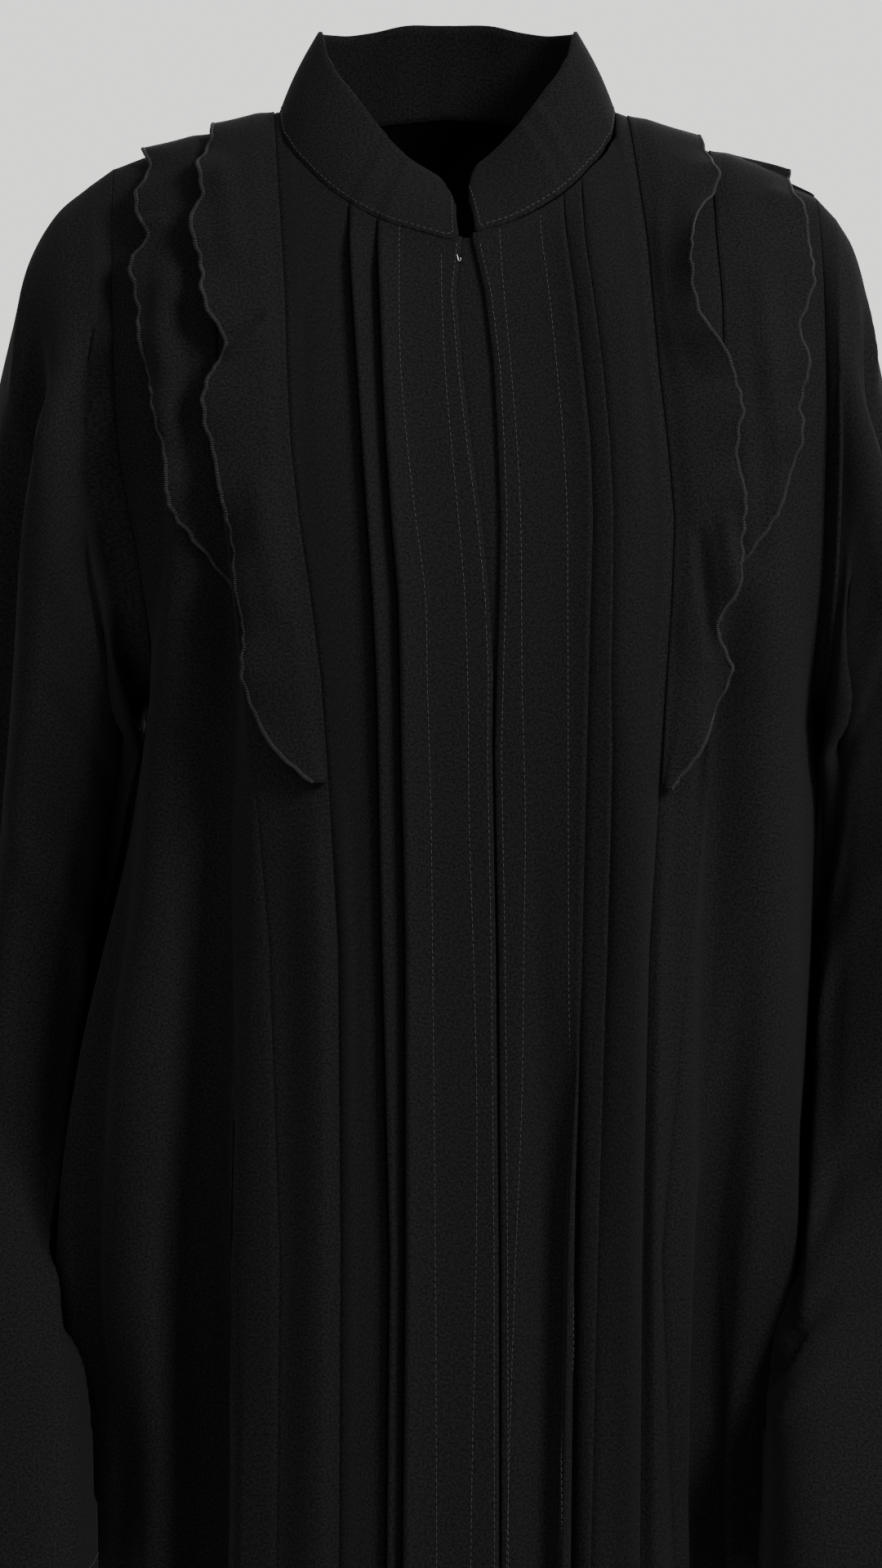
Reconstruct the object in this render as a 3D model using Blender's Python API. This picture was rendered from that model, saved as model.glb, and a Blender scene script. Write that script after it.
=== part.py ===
"""A long open-front abaya with a stand collar, knife pleats and ruffled seams, worn on a general figure.

Metres, +Z up. The wearer faces -Y, so the wearer's right side lies at -X. The origin is the middle
of the neck, level with the collar seam at the sides. Every piece of cloth is a thin closed wall.
"""

import math

import bpy
import numpy as np

# Driving sizes
CLOTH = 0.0016  # wall of the cloth
BAND = 0.0024  # wall of the stiffened collar
RUFFLE = 0.0012  # wall of a ruffle
SEAM_GAP = 0.0003  # between pieces that are sewn together
HEM_LEVEL = -1.36
UNDERARM = -0.3125
NECK_HALF = 0.0905  # half the width of the neckline
SHOULDER_TOP = 0.0075  # height of the shoulder seam at the neck
SHOULDER_SLOPE = {"right": 0.347, "left": 0.43}
SHOULDER_ROUND = {"front": 0.13, "back": 0.11}  # how far down the cloth takes to hang straight
SQUARENESS = 2.3  # 2 would make each level an ellipse
ARMHOLE_SPREAD = 0.24  # how much wider than the armhole the figure is taken to be above it
ARMHOLE_RISE = 0.14  # over what height it widens
ARMHOLE_STEPS = 13  # rows of cloth from shoulder to underarm
COLLAR_END = {"right": 0.0052, "left": 0.0152}  # the band's front ends
COLLAR_LIFT = 0.0027  # the band's middle above the panels' edge
COLLAR_CORNER = 0.016  # how far its rounded corners reach
PLEAT_DEPTH = 0.0036
PLEAT_RISER = 0.0032
BESIDE_BODY = 0.0088  # from the middle of a sleeve's wall to the middle of the body's
FIRST_BESIDE_BODY = 6  # the first row of a sleeve that is kept beside the body
BESIDE_SEAM = 0.0004  # from a ruffle's sewn edge to the seam's middle
RUFFLE_END = 0.985  # a ruffle stops short of its point, which would be too thin
CONTOUR_TURNS = np.linspace(30, 90, 90)  # where the body can meet a sleeve

TOWARDS = {"right": -1, "left": 1}
BLACK_CREPE = (0.0095, 0.0092, 0.0098, 1.0)


def table(names, *rows):
    """A small table as one array for each named column."""
    return dict(zip(names.split(), np.array(rows, float).T))


# The figure that the cloth hangs on. Half widths at the armhole and side seams, then those that the
# front and back keep away from the seams, and how far the cloth stands forward and back
SECTIONS = table(
    "level right left right_full left_full front back",
    (0.040, 0.180, 0.190, 0.212, 0.228, 0.055, 0.070),
    (0.000, 0.180, 0.195, 0.212, 0.230, 0.066, 0.098),
    (-0.030, 0.180, 0.198, 0.212, 0.232, 0.073, 0.105),
    (-0.070, 0.179, 0.200, 0.211, 0.233, 0.084, 0.112),
    (-0.120, 0.177, 0.200, 0.209, 0.232, 0.102, 0.120),
    (-0.180, 0.173, 0.200, 0.204, 0.228, 0.121, 0.126),
    (-0.240, 0.162, 0.199, 0.198, 0.222, 0.133, 0.125),
    (-0.3125, 0.155, 0.192, 0.191, 0.215, 0.138, 0.120),
    (-0.375, 0.168, 0.198, 0.188, 0.208, 0.138, 0.114),
    (-0.430, 0.181, 0.197, 0.190, 0.202, 0.138, 0.112),
    (-0.530, 0.197, 0.192, 0.198, 0.194, 0.142, 0.116),
    (-0.610, 0.202, 0.185, 0.202, 0.186, 0.147, 0.122),
    (-0.710, 0.195, 0.178, 0.196, 0.180, 0.154, 0.132),
    (-0.800, 0.199, 0.182, 0.200, 0.184, 0.161, 0.142),
    (-0.950, 0.224, 0.206, 0.224, 0.206, 0.173, 0.158),
    (-1.150, 0.262, 0.248, 0.262, 0.248, 0.191, 0.180),
    (-1.360, 0.302, 0.290, 0.302, 0.290, 0.211, 0.203),
)

# Where the lines of the fronts lie, seen from the front
LINES = table(
    "level edge_right pleat_r1 pleat_r2 seam_a seam_b edge_left pleat_l1 pleat_l2 seam_d seam_e",
    (0.01, 0.0072, -0.0355, -0.0508, -0.0935, -0.1275, 0.0132, 0.0580, 0.0680, 0.0960, 0.1400),
    (-0.07, 0.0072, -0.0355, -0.0502, -0.0872, -0.1235, 0.0132, 0.0603, 0.0703, 0.1053, 0.1424),
    (-0.10, 0.0042, -0.0342, -0.0483, -0.0850, -0.1217, 0.0196, 0.0639, 0.0742, 0.1071, 0.1442),
    (-0.14, 0.0074, -0.0325, -0.0456, -0.0835, -0.1194, 0.0241, 0.0677, 0.0787, 0.1100, 0.1441),
    (-0.18, 0.0119, -0.0304, -0.0429, -0.0812, -0.1168, 0.0260, 0.0712, 0.0819, 0.1141, 0.1433),
    (-0.22, 0.0172, -0.0276, -0.0400, -0.0765, -0.1137, 0.0274, 0.0722, 0.0833, 0.1171, 0.1424),
    (-0.26, 0.0212, -0.0240, -0.0373, -0.0704, -0.1096, 0.0267, 0.0709, 0.0827, 0.1155, 0.1412),
    (-0.30, 0.0229, -0.0229, -0.0352, -0.0652, -0.1054, 0.0254, 0.0698, 0.0817, 0.1127, 0.1391),
    (-0.34, 0.0224, -0.0223, -0.0342, -0.0622, -0.1006, 0.0243, 0.0688, 0.0818, 0.1102, 0.1364),
    (-0.44, 0.0243, -0.0202, -0.0323, -0.0563, -0.0918, 0.0262, 0.0665, 0.0794, 0.1038, 0.1246),
    (-0.60, 0.0257, -0.0199, -0.0283, -0.0549, -0.0860, 0.0274, 0.0628, 0.0745, 0.0998, 0.1100),
    (-0.78, 0.0257, -0.0215, -0.0300, -0.0555, -0.0875, 0.0276, 0.0600, 0.0700, 0.0980, 0.1170),
    (-1.36, 0.0257, -0.0330, -0.0520, -0.0950, -0.1560, 0.0276, 0.0700, 0.0920, 0.1380, 0.1980),
)

# The seam round the neck, as a share of the half width and the height, in front and behind
NECKLINE_FRONT = table(
    "share level",
    (0.0, -0.0712), (0.19, -0.0662), (0.40, -0.0596), (0.56, -0.0512), (0.68, -0.0432),
    (0.83, -0.0290), (0.94, -0.0150), (0.985, -0.0040), (1.0, 0.0075),
)
NECKLINE_BACK = table(
    "share level",
    (0.0, 0.0110), (0.35, 0.0078), (0.60, 0.0040), (0.80, 0.0030), (0.95, 0.0055), (1.0, 0.0075),
)

# Collar: its top edge above and inside the seam, by the way round from centre front to centre back
COLLAR = table(
    "turn rise inward",
    (0, 0.0330, 0.0300), (25, 0.0360, 0.0285), (50, 0.0420, 0.0255), (75, 0.0435, 0.0225),
    (92, 0.0425, 0.0205), (115, 0.0490, 0.0175), (145, 0.0515, 0.0145), (180, 0.0490, 0.0120),
)

# Soft hanging folds: where each starts and ends, its width, its height and where it is highest
FOLDS = table(
    "start_level start_turn end_turn half_width height grow_from",
    (-0.36, -41, -44, 7, -0.0110, 0.30),
    (-0.36, -31, -31, 4, 0.0040, 0.35),
    (-0.30, -66, -72, 9, 0.0090, 0.25),
    (-0.55, -57, -58, 8, -0.0120, 0.80),
    (-0.72, -20, -19, 7, 0.0160, 1.00),
    (-0.36, 51, 45, 6, -0.0090, 0.45),
    (-0.40, 66, 70, 9, 0.0090, 0.40),
    (-0.62, 58, 57, 8, -0.0120, 0.90),
    (-0.72, 27, 27, 7, 0.0160, 1.00),
    (-0.80, 4, 4, 8, -0.0120, 1.00),
)
BACK_FOLDS = table(
    "start_level start_turn end_turn half_width height grow_from",
    (-0.32, -70, -70, 10, 0.0100, 0.40),
    (-0.40, -50, -52, 9, -0.0140, 0.70),
    (-0.30, -33, -34, 9, 0.0130, 0.60),
    (-0.50, -16, -16, 8, -0.0130, 0.90),
    (-0.34, 2, 1, 8, 0.0120, 0.80),
    (-0.52, 18, 19, 8, -0.0150, 0.90),
    (-0.30, 36, 37, 9, 0.0130, 0.50),
    (-0.40, 54, 55, 9, -0.0140, 0.70),
    (-0.34, 71, 71, 9, 0.0100, 0.50),
)

# Sleeves: each ring from its outer point to its inner one, where its middle lies and how deep it is
SLEEVES = {
    "right": table(
        "outer_x outer_z inner_x inner_z middle_y deep",
        (-0.1935, -0.0330, -0.1635, -0.3140, 0.000, 0.085),
        (-0.2116, -0.0487, -0.1675, -0.3190, 0.000, 0.084),
        (-0.2262, -0.0748, -0.1705, -0.3265, 0.000, 0.082),
        (-0.2345, -0.1080, -0.1700, -0.3350, 0.002, 0.080),
        (-0.2440, -0.1480, -0.1690, -0.3440, 0.005, 0.078),
        (-0.2530, -0.1950, -0.1670, -0.3540, 0.011, 0.077),
        (-0.2610, -0.2500, -0.1660, -0.3680, 0.018, 0.077),
        (-0.2680, -0.3100, -0.1680, -0.3900, 0.029, 0.078),
        (-0.2740, -0.3750, -0.1720, -0.4250, 0.038, 0.078),
        (-0.2800, -0.4450, -0.1780, -0.4750, 0.041, 0.078),
        (-0.2860, -0.5200, -0.1860, -0.5350, 0.033, 0.079),
        (-0.2890, -0.5900, -0.1910, -0.5920, 0.010, 0.080),
        (-0.2887, -0.6200, -0.1912, -0.6180, -0.006, 0.081),
        (-0.2878, -0.6500, -0.1905, -0.6440, -0.023, 0.081),
        (-0.2866, -0.6750, -0.1890, -0.6670, -0.041, 0.081),
        (-0.2850, -0.6990, -0.1870, -0.6880, -0.058, 0.081),
        (-0.2820, -0.7430, -0.1840, -0.7290, -0.085, 0.081),
        (-0.2790, -0.7850, -0.1820, -0.7690, -0.105, 0.080),
    ),
    "left": table(
        "outer_x outer_z inner_x inner_z middle_y deep",
        (0.2099, -0.0505, 0.2000, -0.3265, 0.000, 0.085),
        (0.2190, -0.0665, 0.2030, -0.3310, 0.000, 0.084),
        (0.2255, -0.0900, 0.2050, -0.3370, 0.000, 0.082),
        (0.2310, -0.1200, 0.2060, -0.3440, 0.001, 0.080),
        (0.2390, -0.1580, 0.2055, -0.3520, 0.003, 0.078),
        (0.2480, -0.2030, 0.2080, -0.3620, 0.008, 0.077),
        (0.2570, -0.2560, 0.2065, -0.3760, 0.014, 0.077),
        (0.2650, -0.3150, 0.2010, -0.3980, 0.024, 0.077),
        (0.2710, -0.3800, 0.1910, -0.4300, 0.033, 0.077),
        (0.2750, -0.4500, 0.1850, -0.4790, 0.036, 0.077),
        (0.2760, -0.5200, 0.1800, -0.5340, 0.025, 0.077),
        (0.2750, -0.5800, 0.1770, -0.5830, 0.000, 0.077),
        (0.2730, -0.6300, 0.1730, -0.6300, -0.035, 0.078),
        (0.2700, -0.6800, 0.1670, -0.6750, -0.074, 0.078),
        (0.2660, -0.7300, 0.1640, -0.7200, -0.104, 0.078),
        (0.2610, -0.7850, 0.1620, -0.7690, -0.124, 0.077),
    ),
}
# Folds that run down a sleeve: way round at the top and the cuff, 0 outside, 90 in front
SLEEVE_FOLDS = {
    "right": table(
        "start end from_row to_row half_width height",
        (50, 62, 2, 16, 20, -0.0080),
        (78, 88, 1, 15, 21, 0.0070),
        (108, 150, 3, 15, 26, -0.0120),
        (20, 25, 6, 18, 22, 0.0080),
        (215, 222, 3, 12, 25, -0.0050),
        (255, 262, 2, 18, 25, 0.0080),
        (300, 300, 5, 18, 24, -0.0080),
        (335, 338, 4, 18, 22, 0.0060),
    ),
    "left": table(
        "start end from_row to_row half_width height",
        (48, 60, 2, 11, 20, -0.0080),
        (75, 85, 1, 13, 21, 0.0070),
        (108, 150, 3, 14, 26, -0.0120),
        (18, 30, 6, 16, 22, 0.0080),
        (218, 222, 3, 16, 25, -0.0060),
        (258, 262, 2, 16, 25, 0.0090),
        (302, 300, 5, 16, 24, -0.0080),
        (338, 338, 4, 16, 22, 0.0060),
    ),
}

# Ruffles: the free edge seen from the front, how far it stands off, and the size of its waves
RUFFLES = {
    "ruffle_right_inner": {
        "side": "right",
        "seam": "seam_a",
        "edge": table(
            "level x stand wave",
            (0.006, -0.1262, 0.011, 0.001), (-0.013, -0.1255, 0.012, 0.004), (-0.034, -0.1298, 0.012, 0.007),
            (-0.050, -0.1270, 0.012, 0.008), (-0.062, -0.1308, 0.012, 0.009), (-0.089, -0.1262, 0.013, 0.010),
            (-0.113, -0.1215, 0.013, 0.010), (-0.130, -0.1130, 0.012, 0.011), (-0.150, -0.1200, 0.012, 0.010),
            (-0.165, -0.1221, 0.012, 0.009), (-0.192, -0.1165, 0.011, 0.009), (-0.220, -0.1120, 0.010, 0.009),
            (-0.247, -0.1078, 0.009, 0.009), (-0.285, -0.1018, 0.009, 0.008), (-0.304, -0.1012, 0.008, 0.008),
            (-0.321, -0.0964, 0.006, 0.006), (-0.341, -0.0845, 0.004, 0.004), (-0.361, -0.0628, 0.001, 0.0),
        ),
        "waves": (0.006, -0.020, -0.050, -0.088, -0.132, -0.182, -0.232, -0.276, -0.318, -0.361),
    },
    "ruffle_right_outer": {
        "side": "right",
        "seam": "seam_b",
        "edge": table(
            "level x stand wave",
            (-0.004, -0.1655, 0.010, 0.001), (-0.014, -0.1651, 0.010, 0.004), (-0.028, -0.1590, 0.009, 0.007),
            (-0.046, -0.1632, 0.009, 0.007), (-0.058, -0.1620, 0.009, 0.008), (-0.068, -0.1565, 0.009, 0.008),
            (-0.084, -0.1632, 0.009, 0.008), (-0.100, -0.1612, 0.009, 0.008), (-0.125, -0.1572, 0.009, 0.008),
            (-0.150, -0.1512, 0.009, 0.008), (-0.171, -0.1455, 0.009, 0.008), (-0.196, -0.1402, 0.008, 0.007),
            (-0.216, -0.1385, 0.007, 0.006), (-0.236, -0.1272, 0.004, 0.004), (-0.262, -0.1112, 0.001, 0.0),
        ),
        "waves": (-0.004, -0.028, -0.066, -0.108, -0.144, -0.182, -0.222, -0.262),
    },
    "ruffle_left_inner": {
        "side": "left",
        "seam": "seam_d",
        "edge": table(
            "level x stand wave",
            (0.008, 0.1322, 0.009, 0.001), (-0.006, 0.1340, 0.010, 0.004), (-0.024, 0.1380, 0.011, 0.007),
            (-0.046, 0.1395, 0.012, 0.009), (-0.062, 0.1282, 0.016, 0.010), (-0.088, 0.1225, 0.018, 0.011),
            (-0.106, 0.1250, 0.017, 0.011), (-0.124, 0.1310, 0.015, 0.011), (-0.142, 0.1440, 0.012, 0.010),
            (-0.160, 0.1488, 0.010, 0.009), (-0.178, 0.1462, 0.010, 0.009), (-0.205, 0.1482, 0.010, 0.009),
            (-0.237, 0.1478, 0.010, 0.009), (-0.255, 0.1445, 0.010, 0.009), (-0.275, 0.1368, 0.011, 0.010),
            (-0.300, 0.1455, 0.009, 0.008), (-0.325, 0.1350, 0.007, 0.006), (-0.344, 0.1235, 0.005, 0.004),
            (-0.364, 0.1095, 0.001, 0.0),
        ),
        "waves": (0.008, -0.020, -0.052, -0.112, -0.150, -0.190, -0.232, -0.276, -0.316, -0.364),
    },
    "ruffle_left_outer": {
        "side": "left",
        "seam": "seam_e",
        "edge": table(
            "level x stand wave",
            (-0.004, 0.1718, 0.010, 0.001), (-0.015, 0.1742, 0.010, 0.004), (-0.027, 0.1838, 0.010, 0.006),
            (-0.040, 0.1825, 0.010, 0.007), (-0.056, 0.1880, 0.010, 0.008), (-0.075, 0.1895, 0.010, 0.008),
            (-0.098, 0.1882, 0.010, 0.008), (-0.120, 0.1820, 0.010, 0.009), (-0.134, 0.1843, 0.010, 0.008),
            (-0.156, 0.1818, 0.009, 0.008), (-0.179, 0.1795, 0.009, 0.008), (-0.199, 0.1742, 0.008, 0.007),
            (-0.220, 0.1655, 0.006, 0.005), (-0.238, 0.1540, 0.003, 0.003), (-0.254, 0.1425, 0.001, 0.0),
        ),
        "waves": (-0.004, -0.032, -0.070, -0.120, -0.158, -0.194, -0.254),
    },
}


def smooth(tab, name, at, key="level"):
    """Read a column of a table at a key, along a smooth curve through its rows."""
    order = np.argsort(tab[key])
    xs, ys = tab[key][order], tab[name][order]
    slope = np.gradient(ys, xs)
    at = np.clip(np.asarray(at, float), xs[0], xs[-1])
    i = np.clip(np.searchsorted(xs, at) - 1, 0, len(xs) - 2)
    width = xs[i + 1] - xs[i]
    t = (at - xs[i]) / width
    return (
        ys[i] * (2 * t**3 - 3 * t**2 + 1)
        + ys[i + 1] * (3 * t**2 - 2 * t**3)
        + slope[i] * width * (t**3 - 2 * t**2 + t)
        + slope[i + 1] * width * (t**3 - t**2)
    )


def straight(tab, name, at, key="level"):
    """Read a column of a table at a key, along straight lines."""
    order = np.argsort(tab[key])
    return np.interp(at, tab[key][order], tab[name][order])


def ease(t):
    """0 to 1 with soft ends."""
    t = np.clip(t, 0, 1)
    return t * t * (3 - 2 * t)


def shoulder_level(x):
    """Height of the shoulder seam, and of the curve that it would follow across the neck."""
    slope = np.where(x < 0, SHOULDER_SLOPE["right"], SHOULDER_SLOPE["left"])
    soft, neck_slope = 0.03, 0.36
    across_neck = neck_slope * (math.hypot(NECK_HALF, soft) - np.hypot(x, soft))
    down_shoulder = -slope * (np.abs(x) - NECK_HALF)
    return SHOULDER_TOP + np.where(np.abs(x) > NECK_HALF, down_shoulder, across_neck)


def armhole_x(side, level):
    """How far out the armhole seam, or the side seam below it, lies."""
    return smooth(SECTIONS, side, level)


def underarm(side):
    """Level of the underarm, at the same share of the length on both sides."""
    share = (shoulder_end("right") - UNDERARM) / (shoulder_end("right") - HEM_LEVEL)
    return shoulder_end(side) - share * (shoulder_end(side) - HEM_LEVEL)


def shoulder_end(side):
    """Level of the shoulder seam's outer end."""
    out = TOWARDS[side] * float(armhole_x(side, -0.03))
    return float(shoulder_level(np.array(out)))


def side_width(side, turn, level):
    """Half the width of the figure: the armhole pulls it in at the underarm, most at the side."""
    above = np.maximum(level - underarm(side), 0)
    at_side = armhole_x(side, level) * (1 + ARMHOLE_SPREAD * (1 - np.exp(-above / ARMHOLE_RISE)))
    full = smooth(SECTIONS, side + "_full", level)
    return full + (at_side - full) * np.abs(np.sin(np.radians(turn))) ** 3


def across_at(turn, level):
    """How far to the side a place on the figure lies."""
    half = np.where(turn < 0, side_width("right", turn, level), side_width("left", turn, level))
    return np.sign(turn) * half * np.abs(np.sin(np.radians(turn))) ** (2 / SQUARENESS)


def turn_at(x, level):
    """The way round at a place: -90 at the right side, 0 in the middle, 90 at the left side."""
    x, level = np.broadcast_arrays(np.asarray(x, float), np.asarray(level, float))
    low, high = np.zeros(x.shape), np.full(x.shape, 90.0)
    side = np.where(x < 0, -1.0, 1.0)
    for _ in range(30):
        middle = (low + high) / 2
        beyond = np.abs(across_at(side * middle, level)) > np.abs(x)
        high = np.where(beyond, middle, high)
        low = np.where(beyond, low, middle)
    return side * (low + high) / 2


def edge_turn(side, level):
    """The way round at the armhole, or at the side seam below it."""
    way = TOWARDS[side]
    at_armhole = way * turn_at(way * armhole_x(side, level), level)
    return np.where(level > underarm(side) + 1e-6, at_armhole, 90.0)


def fold_relief(folds, turn, level):
    """How far the hanging folds lift the cloth."""
    lift = np.zeros(np.broadcast(turn, level).shape)
    for i, start in enumerate(folds["start_level"]):
        run = np.clip((start - level) / (start - HEM_LEVEL), 0, 1)
        middle = folds["start_turn"][i] + (folds["end_turn"][i] - folds["start_turn"][i]) * run
        across = np.clip(np.abs(turn - middle) / folds["half_width"][i], 0, 1)
        grown = ease(run / folds["grow_from"][i]) * (1 + 0.8 * run)
        lift = lift + folds["height"][i] * grown * (0.5 + 0.5 * np.cos(np.pi * across)) ** 1.2
    return lift


def pleat_relief(x, level):
    """The step of each knife pleat, and the soft roll of the cloth beside it."""
    lift = np.zeros(np.broadcast(x, level).shape)
    fade = 1 - 0.35 * ease((level + 0.10) / 0.11)
    for name, way, roll in (
        ("pleat_r1", -1, 0.012), ("pleat_r2", -1, 0.011), ("pleat_l1", 1, 0.010), ("pleat_l2", 1, 0.012),
    ):
        behind_line = (x - straight(LINES, name, level)) * way
        step = np.clip(behind_line / PLEAT_RISER, 0, 1)
        fall = np.where(behind_line < 0, np.exp(behind_line / roll), 1 - step)
        lift = lift + PLEAT_DEPTH * fade * fall
    at_neckline, reach = 0.35, 0.03
    sewn_down = at_neckline + (1 - at_neckline) * ease((neckline_level(x) - level) / reach)
    return lift * np.where(np.abs(x) < NECK_HALF, sewn_down, 1)


def body_point(turn, level, behind=False):
    """A point on the cloth of the body: turn is -90 at the right side, 0 in the middle, 90 at the left."""
    turn, level = np.broadcast_arrays(np.asarray(turn, float), np.asarray(level, float))
    across = across_at(turn, level)
    rounding = SHOULDER_ROUND["back" if behind else "front"]
    fall = np.clip((shoulder_level(across) - level) / rounding, 0, 1)
    cap = np.sqrt(np.maximum(1 - (1 - fall) ** 2, 0))
    stand = smooth(SECTIONS, "back" if behind else "front", level)
    away = stand * np.abs(np.cos(np.radians(turn))) ** (2 / SQUARENESS) * cap
    lift = fold_relief(BACK_FOLDS if behind else FOLDS, turn, level)
    if not behind:
        lift = lift + pleat_relief(across, level)
    out_x = np.sin(np.radians(turn))
    out_y = np.cos(np.radians(turn))
    forward = 1 if behind else -1
    return np.stack(
        [across + out_x * lift, forward * (away + out_y * lift + SEAM_GAP / 2), level], axis=-1
    )


def unit(v):
    return v / np.maximum(np.linalg.norm(v, axis=-1, keepdims=True), 1e-12)


def body_normal(turn, level, behind=False):
    """Which way the cloth of the body faces, from points close around."""
    near_turn, near_level = 0.4, 0.0015
    edge = shoulder_level(across_at(turn, level)) - 0.0004
    level = np.minimum(level, edge - 2 * near_level)
    top = level + near_level
    first, second = np.maximum(turn - near_turn, -90), np.minimum(turn + near_turn, 90)
    across = body_point(second, level, behind) - body_point(first, level, behind)
    down = body_point(turn, level - near_level, behind) - body_point(turn, top, behind)
    return unit(np.cross(across, down) if behind else np.cross(down, across))


def grid_normals(grid, looped=False):
    """Which way a grid of cloth faces: its rows run down and its columns run to the left."""
    down = np.gradient(grid, axis=0)
    if looped:
        across = np.roll(grid, -1, axis=1) - np.roll(grid, 1, axis=1)
    else:
        across = np.gradient(grid, axis=1)
    return unit(np.cross(down, across))


def crepe_material():
    mat = bpy.data.materials.get("black_crepe") or bpy.data.materials.new("black_crepe")
    mat.use_nodes = True
    shader = mat.node_tree.nodes["Principled BSDF"]
    shader.inputs["Base Color"].default_value = BLACK_CREPE
    shader.inputs["Roughness"].default_value = 0.85
    shader.inputs["Metallic"].default_value = 0.0
    return mat


def wall(name, grid, normals, thickness, looped=False):
    """One closed wall of cloth around a grid of points, half its thickness to each side."""
    rows, cols = grid.shape[:2]
    half = thickness / 2
    points = np.concatenate([(grid + half * normals).reshape(-1, 3), (grid - half * normals).reshape(-1, 3)])
    inner = rows * cols
    wrap = cols if looped else cols - 1

    def at(r, c, layer=0):
        return layer * inner + r * cols + c % cols

    faces = []
    for r in range(rows - 1):
        for c in range(wrap):
            quad = (at(r, c), at(r + 1, c), at(r + 1, c + 1), at(r, c + 1))
            middle = grid.reshape(-1, 3)[list(quad)]
            if np.linalg.norm(middle[0] - middle[2]) < np.linalg.norm(middle[1] - middle[3]):
                halves = (quad[:3], (quad[0], quad[2], quad[3]))
            else:
                halves = ((quad[0], quad[1], quad[3]), quad[1:])
            for half_quad in halves:
                faces.append(half_quad)
                faces.append(tuple(i + inner for i in reversed(half_quad)))
    for c in range(wrap):
        faces.append((at(0, c, 1), at(0, c), at(0, c + 1), at(0, c + 1, 1)))
        last = rows - 1
        faces.append((at(last, c + 1, 1), at(last, c + 1), at(last, c), at(last, c, 1)))
    if not looped:
        for r in range(rows - 1):
            faces.append((at(r, 0), at(r, 0, 1), at(r + 1, 0, 1)))
            faces.append((at(r, 0), at(r + 1, 0, 1), at(r + 1, 0)))
            end = cols - 1
            faces.append((at(r, end), at(r + 1, end, 1), at(r, end, 1)))
            faces.append((at(r, end), at(r + 1, end), at(r + 1, end, 1)))
    mesh = bpy.data.meshes.new(name)
    mesh.from_pydata(points.tolist(), [], faces)
    mesh.update()
    mesh.shade_smooth()
    mesh.set_sharp_from_angle(angle=math.radians(50))
    mesh.materials.append(crepe_material())
    piece = bpy.data.objects.new(name, mesh)
    bpy.context.scene.collection.objects.link(piece)
    return piece


# Rows of the body as shares of its length, closer at the shoulder and the underarm
ARMHOLE_SHARE = (shoulder_end("right") - UNDERARM) / (shoulder_end("right") - HEM_LEVEL)
ARMHOLE_ROWS = ARMHOLE_SHARE * 0.5 * (1 - np.cos(np.pi * np.arange(ARMHOLE_STEPS + 1) / ARMHOLE_STEPS))
SKIRT_ROWS = ARMHOLE_SHARE + (1 - ARMHOLE_SHARE) * np.array(
    [0.012, 0.035, 0.075, 0.13, 0.20, 0.28, 0.37, 0.47, 0.58, 0.71, 0.85, 1.0]
)
BODY_ROWS = np.concatenate([ARMHOLE_ROWS, SKIRT_ROWS])


def neckline_level(x, behind=False):
    seam = NECKLINE_BACK if behind else NECKLINE_FRONT
    return smooth(seam, "level", np.abs(x) / NECK_HALF, key="share")


def top_level(x, behind=False):
    """Level of the body's top edge: the neckline near the middle, the shoulder seam further out."""
    return np.where(np.abs(x) < NECK_HALF, neckline_level(x, behind), shoulder_level(x))


def panel_levels(top):
    return top[None, :] + (HEM_LEVEL - top[None, :]) * BODY_ROWS[:, None]


def lines_between(names, steps):
    """Columns of cloth between named lines: for each, its two lines and its share of the way."""
    columns = [(names[0], names[1], 0.0)]
    for first, second, count in zip(names, names[1:], steps):
        columns += [(first, second, (i + 1) / count) for i in range(count)]
    return columns


def front_panel(name, side, names, steps):
    """A front panel between its first and last line, with a column at each line between them."""
    way = TOWARDS[side]
    marks = lines_between(names, steps)
    top_x = []
    for first, second, share in marks:
        start, end = float(column_x(first, 0.01, side)), float(column_x(second, 0.01, side))
        top_x.append(start + (end - start) * share)
    top_x = np.array(top_x)
    inset = SEAM_GAP / 2
    top_x[0] += way * inset
    if names[-1] != "armhole":
        top_x[-1] -= way * inset
    top = top_level(top_x)
    level = panel_levels(top)
    x = np.empty_like(level)
    for c, (first, second, share) in enumerate(marks):
        start, end = column_x(first, level[:, c], side), column_x(second, level[:, c], side)
        x[:, c] = start + (end - start) * share
    x[:, 0] += way * inset
    if names[-1] != "armhole":
        x[:, -1] -= way * inset
    turn = turn_at(x, level)
    if names[-1] == "armhole":
        first_turn = turn[:, 0]
        seam_share = np.array([share for _, _, share in marks])
        last = edge_turn(side, level[:, -1]) * way
        turn = first_turn[:, None] + (last - first_turn)[:, None] * seam_share[None, :]
    if way < 0:
        turn, level = turn[:, ::-1], level[:, ::-1]
    grid = body_point(turn, level)
    normals = body_normal(turn, level)
    if len(names) > 2:
        near_it = 0.010
        away_from_neck_point = np.abs(np.abs(grid[0, :, 0]) - NECK_HALF) > near_it
        away_from_neck_point[[0, -1]] = False
        normals[:, away_from_neck_point] = grid_normals(grid)[:, away_from_neck_point]
    flatten_seams(normals, grid, turn)
    return wall(name, grid, normals, CLOTH)


def column_x(name, level, side):
    """Where a named line of a front lies at a level."""
    if name == "armhole":
        return TOWARDS[side] * armhole_x(side, level)
    base, _, shift = name.partition(" ")
    return straight(LINES, base, level) + (float(shift) if shift else 0.0)


def flatten_seams(normals, grid, turn):
    """At the shoulder and side seams the two walls face exactly alike, so that they keep their gap."""
    at_shoulder = np.abs(grid[0, :, 0]) > NECK_HALF - 0.002
    normals[0, at_shoulder, 1] = 0
    at_side = np.abs(turn) > 89.9
    normals[at_side, 1] = 0
    normals[:] = unit(normals)


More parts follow.
